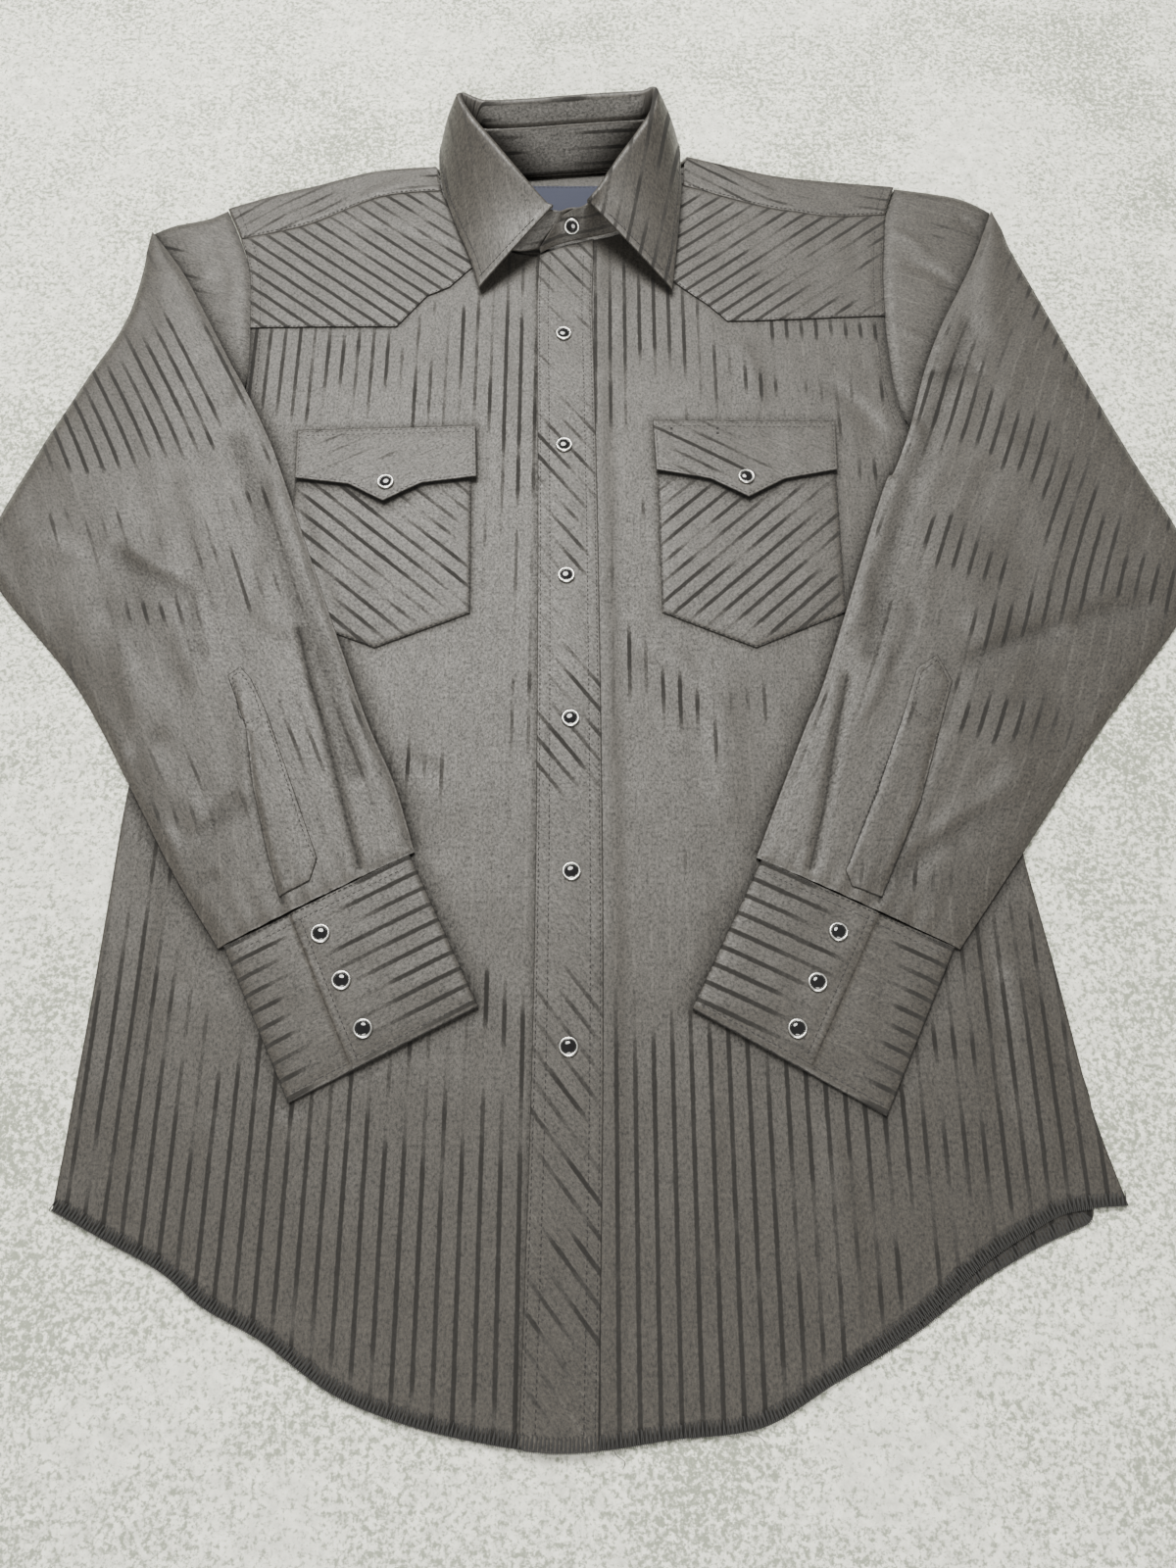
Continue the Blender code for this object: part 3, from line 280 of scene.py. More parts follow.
CAP_FINE = (
    (3.8, 0.0), (3.82, 0.8), (3.75, 1.1), (3.5, 1.4), (3.05, 1.7), (2.45, 1.95), (1.75, 2.12), (1.05, 2.2),
    (0.35, 2.23),
)

# ---- pressed lines
# x0, y0, x1, y1, bend, half width, height
BODY_CREASES = [
    (208, 160, 216, 103, 3, 9, -0.8),
    (216, 103, 214, 55, -3, 8, -0.6),
    (-161, 650, -82, 623, 4, 8, -0.5),
    (62, 641, 114, 663, 4, 7, -0.5),
    (-60, 240, -66, 40, 6, 10, 0.6),
    (-140, 190, -150, 10, -6, 12, 0.7),
    (60, 210, 56, -30, 6, 12, 0.6),
    (120, 60, 128, -40, 4, 9, 0.6),
    (-190, 60, -198, -10, 4, 9, 0.7),
    (-110, 540, -96, 488, 4, 10, 0.6),
    (25, 323, 74, 263, 4, 9, -0.9),
    (34, 335, 84, 272, 4, 9, 0.6),
    (-110, 256, -78, 242, 2, 8, -0.7),
    (96, 555, 110, 495, 4, 10, 0.6),
    (-60, 560, -52, 470, 4, 9, 0.6),
    (24, 600, 20, 500, -3, 8, 0.5),
    (150, 520, 190, 470, 5, 9, -0.8),
    (180, 300, 210, 230, 6, 9, 0.7),
    (-235, 190, -246, 70, 4, 9, -0.8),
]
SLEEVE_CREASES_RIGHT = [
    (-290, 392, -234, 358, -4, 9, -1.7),
    (-280, 392, -238, 372, -3, 7, 0.7),
    (-238, 364, -220, 308, -3, 6, -0.9),
    (-232, 362, -212, 300, -3, 8, 0.6),
    (-216, 204, -186, 226, 3, 6, -1.1),
    (-214, 176, -200, 184, 1, 3, -1.1),
    (-208, 214, -193, 231, 3, 4, -1.2),
    (-236, 212, -222, 194, 2, 5, 0.7),
    (-345, 400, -300, 378, 3, 9, 0.7),
    (-215, 430, -170, 330, 5, 8, 0.8),
    (-300, 350, -262, 300, 5, 9, 0.6),
    (-150, 300, -118, 230, 3, 5, 0.6),
    (-200, 300, -188, 215, 2, 5, 0.6),
    (-260, 256, -240, 269, 2, 6, -0.8),
    (-290, 560, -255, 500, 4, 12, 0.5),
]
SLEEVE_CREASES_LEFT = [
    (214, 519, 256, 524, 2, 5, -1.6),
    (222, 527, 250, 527, 2, 5, 0.9),
    (217, 311, 283, 338, 3, 8, -1.7),
    (283, 338, 340, 352, 3, 8, -1.2),
    (159, 176, 238, 228, 4, 7, -1.2),
    (252, 470, 300, 440, 5, 12, 0.5),
    (225, 250, 265, 290, 3, 9, 0.6),
    (178, 330, 150, 270, 4, 6, 0.7),
    (196, 360, 172, 300, 4, 7, -0.7),
    (209, 385, 262, 378, 4, 10, 0.5),
    (205, 205, 235, 225, 2, 6, 0.6),
]
HEAD_CREASES_RIGHT = [
    (-262, 640, -240, 580, 4, 6, -0.7),
    (-280, 640, -255, 600, 4, 5, 0.5),
    (-250, 600, -228, 560, 3, 4, 0.5),
]
HEAD_CREASES_LEFT = [
    (212, 618, 247, 595, 4, 7, -0.9),
    (204, 648, 232, 622, 3, 6, 0.5),
    (252, 657, 272, 636, 3, 7, -0.9),
    (205, 560, 232, 540, 3, 5, 0.5),
]
YOKE_CREASES = [
    (-160, 668, -120, 690, 4, 7, 0.5),
    (90, 696, 130, 676, 3, 6, 0.5),
    (-112, 700, -100, 684, 1, 4, -0.6),
]
# lines where the cloth is pressed down sharply
PLEAT_RIGHT = [(-170, 334), (-161, 303), (-150, 271), (-135, 222), (-124, 188)]
PLEAT_LEFT = [(150, 304), (140, 262), (132, 228), (121, 188)]
SLIT_RIGHT = [(-192, 267), (-186, 236), (-175, 199), (-164, 168)]
SLIT_LEFT = [(197, 266), (183, 225), (170, 196), (156, 169)]
BOX_RIGHT = [(-206, 302), (-201, 307), (-195.5, 300), (-190.5, 292), (-184.5, 277), (-193, 271), (-199, 277)]
BOX_LEFT = [(203, 314.5), (192, 306), (183.5, 283), (191, 275), (198, 272), (208.5, 299)]
BOX_SEAM_RIGHT = [(-182.5, 275), (-166.7, 235), (-154.3, 204), (-147, 190)]
BOX_SEAM_LEFT = [(179, 277), (162.9, 239), (148.4, 206), (141, 189)]
VALLEY_RIGHT = [(-222, 470), (-204, 430), (-178, 368), (-150, 300), (-132, 245)]
VALLEY_LEFT = [(250, 560), (228, 505), (213, 470), (196, 426), (178, 368), (166, 320)]
BACK_HEM_SEEN = 118.0
TACKS = [[(52.8, 479.5), (52.6, 472)], [(81.9, 479.5), (81.7, 472)]]
LOOSE_THREADS = [[(11, -88, 1.5), (13, -93, 1.0), (17, -96, 0.7), (16, -99, 0.9)],
                 [(72, -82, 1.5), (75, -85, 1.2), (79, -85.5, 0.8), (82, -88, 0.6)]]
BODY_SEAMS = [
    YOKE_EDGE_RIGHT, YOKE_EDGE_LEFT, POCKET_RIGHT, POCKET_LEFT, FRONT_EDGE,
    FLAP_RIGHT[-1:] + FLAP_RIGHT[:1], FLAP_LEFT[-1:] + FLAP_LEFT[:1],
]

# ---- where the stripes show, painted by place for where the satin stripes catch the light
# a line of x, y; reach, how much more they show
BODY_SHINE = [
    (-215, 528, -50, 528, 38, 0.62),
    (-215, 506, -190, 500, 16, 0.3),
    (-48, 560, -46, 440, 13, 0.55),
    (10, 560, 12, 500, 16, 0.5),
    (-82, 572, -40, 606, 20, 0.6),
    (14, 616, 56, 574, 20, 0.6),
    (24, 560, 95, 515, 26, 0.6),
    (123, 560, 190, 558, 9, 0.75),
    (114, 512, 187, 511, 12, 0.55),
    (161, 481, 184, 445, 14, 0.55),
    (-40, 400, -36, 300, 8, 0.35),
    (25, 323, 74, 263, 12, 0.5),
    (18, 400, 20, 300, 7, 0.3),
    (-103, 248, -84, 248, 10, 0.3),
    (-54, 127, -34, 94, 10, 0.4),
    (-232, 200, -246, 60, 22, 0.5),
    (-60, -70, 60, -70, 60, 0.5),
    (-150, 20, -60, 0, 75, 0.64),
    (-240, 30, -190, 10, 60, 0.6),
    (14, 60, 99, 50, 48, 0.42),
    (20, 0, 200, 0, 70, 0.5),
    (210, 150, 250, 40, 32, 0.62),
    (150, 60, 190, 40, 30, 0.2),
]
YOKE_SHINE_RIGHT = [
    (-215, 575, -120, 570, 18, 0.35), (-170, 640, -110, 655, 14, -0.3), (-215, 620, -150, 610, 20, 0.2),
]
YOKE_SHINE_LEFT = [
    (75, 655, 190, 640, 22, 0.3), (60, 620, 120, 580, 24, 0.35), (160, 600, 190, 590, 16, -0.2),
]
PLACKET_SHINE = [(-14, 600, -14, 480, 40, 0.14), (-14, 320, -14, 240, 30, 0.22), (-20, 60, 8, -25, 20, 0.4),
                 (-14, 450, -14, 400, 20, 0.15)]
POCKET_SHINE_RIGHT = [(-175, 400, -110, 390, 14, 0.3), (-170, 355, -120, 340, 12, 0.25)]
POCKET_SHINE_LEFT = [(60, 420, 150, 400, 18, 0.5), (60, 360, 140, 350, 20, 0.45)]
FLAP_SHINE = [(-165, 470, -130, 460, 9, 0.35), (50, 475, 76, 462, 9, 0.25)]
SLEEVE_SHINE_RIGHT = [
    (-318, 475, -284, 512, -246, 518, 48, 0.85),
    (-222, 470, -262, 566, 7, -0.5),
    (-348, 428, -250, 436, -215, 450, 13, -0.9),
    (-267, 346, -255, 346, 9, 0.5),
    (-204, 427, -197, 429, 8, 0.5),
    (-212, 384, -200, 352, 11, 0.32),
    (-186, 390, -176, 360, 9, 0.3),
    (-120, 250, -112, 215, 8, 0.3),
    (-325, 402, -300, 402, 16, 0.12),
]
SLEEVE_SHINE_LEFT = [
    (221, 507, 252, 486, 270, 469, 289, 442, 303, 401, 25, 0.95),
    (276, 630, 244, 530, 15, 0.2),
    (291, 600, 354, 405, 9, 0.62),
    (216, 399, 222, 388, 239, 380, 15, 0.65),
    (237, 334, 263, 342, 281, 353, 298, 367, 341, 361, 17, 0.9),
    (200, 340, 215, 300, 14, 0.15),
    (236, 316, 290, 333, 8, -0.4),
    (220, 275, 264, 275, 14, 0.5),
    (178, 178, 206, 178, 10, 0.45),
    (180, 350, 165, 290, 8, 0.3),
]
HEAD_SHINE_RIGHT = [(-286, 630, -240, 560, 12, 0.4), (-262, 648, -236, 628, 10, 0.3)]
HEAD_SHINE_LEFT = [(262, 655, 240, 640, 10, 0.15)]
WEARS = 0.1                          # how strongly rubbed edges show
BACK_SHADE = 0.6                     # the front's shade on the back's hem
YOKE_SHINE = 0.06                    # of the back yoke's stripes
LEAST_SHADE = 0.04                   # below this much painted shade a piece's rim shows its rubbing and its painted dark edge line instead
YOKE_LEAN = 51.5                     # of the front yokes' stripes, degrees
LABEL_COLOUR = (0.015, 0.021, 0.054)

# ---- sewing and small sizes, millimetres
CUFF_DEPTH = 91.0
CUFF_WIDTH = 110.0
YOKE_ROW = 1.3                       # from an edge to its row of stitches
POCKET_ROW = 1.0
ARMHOLE_ROWS = (1.6, 6.6)
PLACKET_ROWS = (1.8, 7.5, PLACKET_WIDTH - 7.0, PLACKET_WIDTH - 1.8)
RIM_ROWS = (0.5, 1.5, 3.0)           # close-set points along a cloth's rim
OVERLOCK_RADIUS = 0.3
LOOSE_RADIUS = 0.16
SNAP_SIDES = 40
FLOOR_DROP = 0.4                     # keeps the floor just under the cloth
FLOOR_TILES = 24
SAME_PLACE = 0.5
MITRE_LEAST = 0.35                   # cosine that keeps a sharp corner's mitre short
CLEAR_OF_RIM, CLEAR_OF_LINE = 0.55, 0.5    # of the grid's size
AT_ONCE = 4000                       # places that are measured together
TINY = 1e-9

# ---- camera and light, metres
CAMERA_PLACE = (0.0, -0.3205, 0.6194)
CAMERA_TILT = math.radians(21.1)
SENSOR_WIDTH, FOCAL_LENGTH = 36.0, 27.05    # millimetres
KEY_PLACE, KEY_SIZE = (-0.30, 1.10, 1.80), 1.2
FILL_PLACE, FILL_SIZE = (0.1, -3.0, 1.1), 2.0


# ==== curves and distances
def catmull_rom(points, t):
    """The point at t, counted in points, on a smooth curve through the points."""
    last = len(points) - 1
    i = min(max(int(math.floor(t)), 0), last - 1)
    f = t - i
    a, b, c, d = (np.array(points[k], float) for k in (max(i - 1, 0), i, i + 1, min(i + 2, last)))
    square = 2 * a - 5 * b + 4 * c - d
    cube = 3 * b - a - 3 * c + d
    return 0.5 * (2 * b + (c - a) * f + square * f * f + cube * f ** 3)


def smooth_edge(points, step=3.0):
    """A smooth edge through the points, cut into straight bits of about one step."""
    edge = []
    for i in range(len(points) - 1):
        bits = max(1, round(math.dist(points[i], points[i + 1]) / step))
        edge += [catmull_rom(points, i + k / bits) for k in range(bits)]
    return np.array(edge + [points[-1]], float)


def straight_edge(points, step=3.0):
    """Straight runs between the points, cut into bits of about one step."""
    points = np.array(points, float)
    edge = []
    for a, b in zip(points, points[1:]):
        bits = max(1, round(math.dist(a, b) / step))
        edge += [a + (b - a) * k / bits for k in range(bits)]
    return np.array(edge + [points[-1]])


def closed(points):
    return np.vstack([points, points[:1]])


def straight_loop(points):
    """One closed loop of straight runs through the points."""
    return outline(straight_edge(points + points[:1]))


def outline(*edges):
    """One closed loop, counter-clockwise, from edges that follow each other."""
    loop = []
    for edge in edges:
        for point in edge:
            if not loop or math.dist(loop[-1], point) > SAME_PLACE:
                loop.append(tuple(point))
    if math.dist(loop[0], loop[-1]) <= SAME_PLACE:
        loop.pop()
    area = sum(a[0] * b[1] - b[0] * a[1] for a, b in zip(loop, loop[1:] + loop[:1]))
    return np.array(loop if area > 0 else loop[::-1])


def unit(ways):
    """The directions, each of length 1."""
    return ways / np.maximum(np.linalg.norm(ways, axis=-1), TINY)[..., None]


def run_of(line):
    """How far along a line each of its points is."""
    return np.concatenate([[0], np.cumsum(np.linalg.norm(np.diff(line, axis=0), axis=1))])


def inset(loop, distance):
    """The loop moved inwards."""
    before = loop - np.roll(loop, 1, 0)
    after = np.roll(loop, -1, 0) - loop
    left = [unit(np.stack([-d[:, 1], d[:, 0]], 1)) for d in (before, after)]
    middle = unit(left[0] + left[1])
    reach = distance / np.maximum((middle * left[0]).sum(1), MITRE_LEAST)
    return loop + middle * reach[:, None]


def offset_line(line, distance):
    """An open line moved to its left."""
    way = unit(np.gradient(line, axis=0))
    return line + np.stack([-way[:, 1], way[:, 0]], 1) * distance


def nearest(places, line):
    """Distance from each place to a line of straight bits, and how far along the line that is."""
    line = np.asarray(line, float)
    a, d = line[:-1], np.diff(line, axis=0)
    square = np.maximum((d * d).sum(1), TINY)
    length = np.sqrt(square)
    starts = np.concatenate([[0], np.cumsum(length)[:-1]])
    off, run = np.empty(len(places)), np.empty(len(places))
    for start in range(0, len(places), AT_ONCE):
        p = places[start:start + AT_ONCE, None, :] - a
        t = np.clip((p * d).sum(2) / square, 0, 1)
        gap = p - t[..., None] * d
        gap = (gap * gap).sum(2)
        k = gap.argmin(1)
        every = np.arange(len(k))
        off[start:start + AT_ONCE] = np.sqrt(gap[every, k])
        run[start:start + AT_ONCE] = starts[k] + t[every, k] * length[k]
    return off, run


def reach(places, line):
    return nearest(places, line)[0]


def fade(places, line, width):
    """1 on a line, and softly less with the distance from it."""
    return np.exp(-(reach(places, line) / width) ** 2)


def within(places, loop):
    """Whether each place is inside a closed loop."""
    a, b = loop, np.roll(loop, -1, 0)
    found = np.zeros(len(places), bool)
    for start in range(0, len(places), AT_ONCE):
        x, y = places[start:start + AT_ONCE, 0, None], places[start:start + AT_ONCE, 1, None]
        over = (a[:, 1] > y) != (b[:, 1] > y)
        rise = np.where(b[:, 1] == a[:, 1], TINY, b[:, 1] - a[:, 1])
        crossing = (b[:, 0] - a[:, 0]) * (y - a[:, 1]) / rise + a[:, 0]
        found[start:start + AT_ONCE] = (over & (x < crossing)).sum(1) % 2 == 1
    return found


def beyond(places, loop):
    """Distance from each place to a closed loop, 0 inside it."""
    return np.where(within(places, loop), 0.0, reach(places, closed(loop)))


def y_on(edge, x):
    edge = np.array(edge, float)
    order = np.argsort(edge[:, 0])
    return np.interp(x, edge[order, 0], edge[order, 1])


def x_on(edge, y):
    return y_on(np.array(edge, float)[:, ::-1], y)


def ease(t):
    """0 to 1 with a soft start and end."""
    t = np.clip(t, 0.0, 1.0)
    return t * t * (3 - 2 * t)


def above(edge, y):
    return edge[edge[:, 1] >= y]


def below(edge, y):
    return edge[edge[:, 1] <= y]


# ==== relief of the cloth
def ridges(places, folds):
    """Height of soft ridges: rows of x0, y0, x1, y1, half width, height."""
    height = np.zeros(len(places))
    for x0, y0, x1, y1, half_width, rise in folds:
        off = reach(places, [(x0, y0), (x1, y1)]) / half_width
        height += np.where(off < 1, rise * np.cos(np.minimum(off, 1) * math.pi / 2) ** 2, 0)
    return height


def creases(places, table):
    """Pressed lines: rows of x0, y0, x1, y1, bend, half width, height. One side is steeper than the other."""
    height = np.zeros(len(places))
    for x0, y0, x1, y1, bend, half_width, rise in table:
        a, b = np.array([x0, y0], float), np.array([x1, y1], float)
        length = np.linalg.norm(b - a)
        way = (b - a) / length
        side = np.array([-way[1], way[0]])
        local = places - a
        s = (local @ way) / length
        q = local @ side - bend * 4 * s * (1 - s)
        ends = ease((s + 0.02) / 0.22) * ease((1.02 - s) / 0.22)
        steep = np.where(q > 0, half_width * 0.45, half_width)
        height += rise * ends * np.exp(-(q / steep) ** 2)
    return height


def swell(places, size, seed):
    """Gentle uneven waves about one size long, from about -1 to 1."""
    rng = np.random.default_rng(int(abs(seed) * 100))
    turn = rng.uniform(0, 2 * math.pi, 9)
    pace = 2 * math.pi / size * rng.uniform(0.55, 1.25, 9)
    start = rng.uniform(0, 2 * math.pi, 9)
    x, y = places[:, :1], places[:, 1:2]
    return np.sin(x * pace * np.cos(turn) + y * pace * np.sin(turn) + start).sum(1) / 4.2


def pucker(places, line, depth=0.13, pitch=8.5, spread=5.0):
    """Little waves where a seam draws the cloth together."""
    off = reach(places, line)
    near = off < spread * 2.5
    height = np.zeros(len(places))
    if near.any():
        s = nearest(places[near], line)[1]
        wave = np.sin(s * 2 * math.pi / pitch + 1.7 * np.sin(s / 23.0)) * (0.6 + 0.4 * np.sin(s / 37.0))
        height[near] = depth * wave * np.exp(-off[near] / spread)
    return height


def groove(places, lines, depth=0.22, width=0.8):
    """The dent that a row of stitches pulls into the cloth."""
    height = np.zeros(len(places))
    for line in lines:
        height = np.minimum(height, -depth * fade(places, line, width))
    return height


def dented(lines):
    """The dents of the lines, as what a piece's top adds."""
    return lambda places: groove(places, lines)


# ==== meshes
def new_piece(name, vertices, faces, finish, uv=None, shine=None, wear_and_shade=None):
    """One object from points in millimetres, with its cloth map and its finish's attributes."""
    vertices = np.asarray(vertices, float)
    mesh = bpy.data.meshes.new(name)
    placed = (vertices - np.array([MIDDLE[0], MIDDLE[1], 0.0])) * MM
    mesh.from_pydata(placed.tolist(), [], [tuple(int(k) for k in f) for f in faces])
    mesh.validate()
    mesh.update()
    mesh.shade_smooth()
    if uv is not None:
        layer = mesh.uv_layers.new(name="Cloth")
        corners = np.empty(len(mesh.loops), np.int32)
        mesh.loops.foreach_get("vertex_index", corners)
        layer.data.foreach_set("uv", (np.asarray(uv, float)[corners] * MM).ravel())
    # The first attribute is the stripes' painted shine by place; the second holds rubbing above 0 and painted
    # shade below 0.
    for title, values in (("Shine", shine), ("Worn", wear_and_shade)):
        if values is not None:
            layer = mesh.attributes.new(title, "FLOAT", "POINT")
            layer.data.foreach_set("value", np.asarray(values, float))
    mesh.materials.append(finish)
    piece = bpy.data.objects.new(name, mesh)
    bpy.context.scene.collection.objects.link(piece)
    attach(piece, "root")
    return piece


def grid_in(loop, lines, grid):
    """Places of a staggered grid inside a loop, clear of its edge and of the lines."""
    low, high = loop.min(0), loop.max(0)
    rows = np.arange(math.floor(low[1] / grid), math.ceil(high[1] / grid) + 1)
    columns = np.arange(math.floor(low[0] / grid), math.ceil(high[0] / grid) + 1)
    i, j = np.meshgrid(columns, rows)
    places = np.stack([(i + (j % 2) / 2).ravel() * grid, j.ravel() * grid], 1)
    places = places[within(places, loop)]
    keep = reach(places, closed(loop)) > grid * CLEAR_OF_RIM
    for line in lines:
        keep &= reach(places, line) > grid * CLEAR_OF_LINE
    return places[keep]


def fill(loop, lines, grid):
    """Points and triangles that fill a loop, close-set along its rim and along the lines."""
    rims = [inset(loop, d) for d in RIM_ROWS]
    rims = [rim[within(rim, loop)] for rim in rims]
    lines = [line[within(line, loop)] for line in lines]
    lines = [line for line in lines if len(line) > 1]
    inner = np.vstack(rims + lines + [grid_in(loop, [closed(rims[-1])] + lines, grid)])
    points = [Vector(p) for p in loop] + [Vector(p) for p in inner]
    made = delaunay_2d_cdt(points, [], [list(range(len(loop)))], 0, 0.01)
    flat = np.array([(v.x, v.y) for v in made[0]])
    faces = np.array([f for f in made[2] if len(f) == 3])
    return flat, faces[within(flat[faces].mean(1), loop)]


def rim_loops(faces):
    """The loops of edges that only one triangle has."""
    edges = set()
    for a, b, c in faces.tolist():
        edges |= {(a, b), (b, c), (c, a)}
    following = {a: b for a, b in sorted(edges) if (b, a) not in edges}
    loops = []
    while following:
        start, step = following.popitem()
        loop = [start]
        while step != start and step in following:
            loop.append(step)
            step = following.pop(step)
        loops.append(loop)
    return loops


def shell(flat, faces, low, high, open_at=None, layers=1, rounding=SOFT_EDGE):
    """Points and faces of a wall with soft edges. It stays open where open_at says so."""
    reach_in, drop, rise = rounding
    rims = rim_loops(faces)
    soft = fade(flat, closed(flat[rims[0]]), reach_in)
    bottom, top = low.copy(), high.copy()
    thick = high - low
    top -= soft * np.minimum(drop, thick * 0.55)
    bottom += soft * np.minimum(rise, thick * 0.25)
    vertices = [np.column_stack([flat, bottom]), np.column_stack([flat, top])]
    count = len(flat)
    total = 2 * count
    walls = [faces[:, ::-1], faces + count]
    quads = []
    for loop in rims:
        ring = flat[loop]
        inner = inset(ring, 0.7)
        shut = np.ones(len(loop), bool) if open_at is None else ~open_at(ring)
        columns = [np.array(loop)]
        for layer in range(1, layers):
            share = layer / layers
            for pinch, deep in ((-0.05, False), (0.0, True), (0.05, False)):
                z = bottom[loop] + (top[loop] - bottom[loop]) * (share + pinch)
                columns.append(np.arange(total, total + len(loop)))
                vertices.append(np.column_stack([inner if deep else ring, z]))
                total += len(loop)
        columns.append(np.array(loop) + count)
        for one, two in zip(columns, columns[1:]):
            for k in range(len(loop)):
                after = (k + 1) % len(loop)
                if shut[k] and shut[after]:
                    quads.append((one[k], one[after], two[after], two[k]))
    faces = [tuple(f) for wall in walls for f in wall.tolist()] + quads
    return np.vstack(vertices), faces


def cut(loop, low, thickness, look, grid=3.0, lines=(), relief=None, open_at=None, layers=1,
        rounding=SOFT_EDGE, painted_shade=None, rimmed=0.55):
    """Cloth cut to a loop, its underside at low, its top raised by relief, with painted shade where given and
    along its rim.
    """
    loop = inset(outline(straight_edge(closed(loop), grid)), GAP / 2)
    flat, faces = fill(loop, list(lines), grid)
    bottom = low(flat)
    top = thickness(flat) if callable(thickness) else bottom + thickness
    if relief is not None:
        top = top + relief(flat)
    vertices, walls = shell(flat, faces, bottom, top, open_at, layers, rounding)
    places = vertices[:, :2]
    uv, shine = look(places)
    rim = reach(places, closed(loop))
    # Rubbing shows a little way in from the rim; right at the rim a painted dark line pulls the value below
    # 0, which the finish paints as shade.
    wear_and_shade = np.exp(-((rim - 1.6) / 1.2) ** 2) - 2 * rimmed * np.exp(-(rim / 0.6) ** 2)
    # Given painted shade is stored below 0 and takes the place of the rim's marks where it is deep enough.
    deep = 0 if painted_shade is None else painted_shade(places)
    return vertices, walls, uv, shine, np.where(deep > LEAST_SHADE, -deep, wear_and_shade)


def cut_piece(name, finish, *cuts):
    """One piece from one or more cuts of cloth."""
    vertices, faces = gather([made[:2] for made in cuts])
    uv, shine, wear_and_shade = (np.concatenate([made[k] for made in cuts]) for k in (2, 3, 4))
    return new_piece(name, vertices, faces, finish, uv, shine, wear_and_shade)


def tube(path, radius, sides=4):
    """Points and faces of a thread along a path, closed at its ends."""
    path = np.asarray(path, float)
    way = unit(np.gradient(path, axis=0))
    side = unit(np.cross(way, [0.13, 0.21, 0.97]))
    up = np.cross(side, way)
    angle = np.arange(sides) * 2 * math.pi / sides
    ring = np.cos(angle)[None, :, None] * side[:, None] + np.sin(angle)[None, :, None] * up[:, None]
    vertices = (path[:, None] + ring * radius).reshape(-1, 3)
    faces = []
    for i in range(len(path) - 1):
        for k in range(sides):
            a, b = i * sides + k, i * sides + (k + 1) % sides
            faces.append((a, b, b + sides, a + sides))
    last = (len(path) - 1) * sides
    faces += [tuple(range(sides))[::-1], tuple(range(last, last + sides))]
    return vertices, faces


def gather(parts):
    """Several point and face sets as one."""
    vertices, faces, start = [], [], 0
    for points, walls in parts:
        vertices.append(points)
        faces += [tuple(k + start for k in wall) for wall in walls]
        start += len(points)
    return np.vstack(vertices), faces


def stitches(line, height, size):
    """A row of stitches on a line: spindles that dip into the cloth at both ends."""
    line = np.asarray(line, float)
    at = run_of(line)
    total = at[-1]
    pitch = size.stitch_length / MM
    count = max(1, int(total / pitch))
    starts = (np.arange(count) + 0.12) * total / count
    ends = starts + total / count * 0.7
    shape = np.array([(0.0, 0, -0.25), (0.22, 1, 0.0), (0.22, 0, 0.85), (0.22, -1, 0.0), (0.22, 0, -0.6),
                      (0.78, 1, 0.0), (0.78, 0, 0.85), (0.78, -1, 0.0), (0.78, 0, -0.6), (1.0, 0, -0.25)])
    walls = [(0, 2, 1), (0, 3, 2), (0, 4, 3), (0, 1, 4), (1, 2, 6, 5), (2, 3, 7, 6), (3, 4, 8, 7),
             (4, 1, 5, 8), (9, 5, 6), (9, 6, 7), (9, 7, 8), (9, 8, 5)]
    radius = size.thread_width / MM / 2
    a = np.stack([np.interp(starts, at, line[:, k]) for k in (0, 1)], 1)
    b = np.stack([np.interp(ends, at, line[:, k]) for k in (0, 1)], 1)
    way = b - a
    length = np.linalg.norm(way, axis=1)[:, None]
    side = np.stack([-way[:, 1], way[:, 0]], 1) / length
    points = a[:, None] + shape[None, :, :1] * way[:, None] + shape[None, :, 1:2] * radius * side[:, None]
    flat = points.reshape(-1, 2)
    z = height(flat) + np.tile(shape[:, 2] * radius, count)
    faces = [tuple(k + 10 * i for k in wall) for i in range(count) for wall in walls]
    return np.column_stack([flat, z]), faces


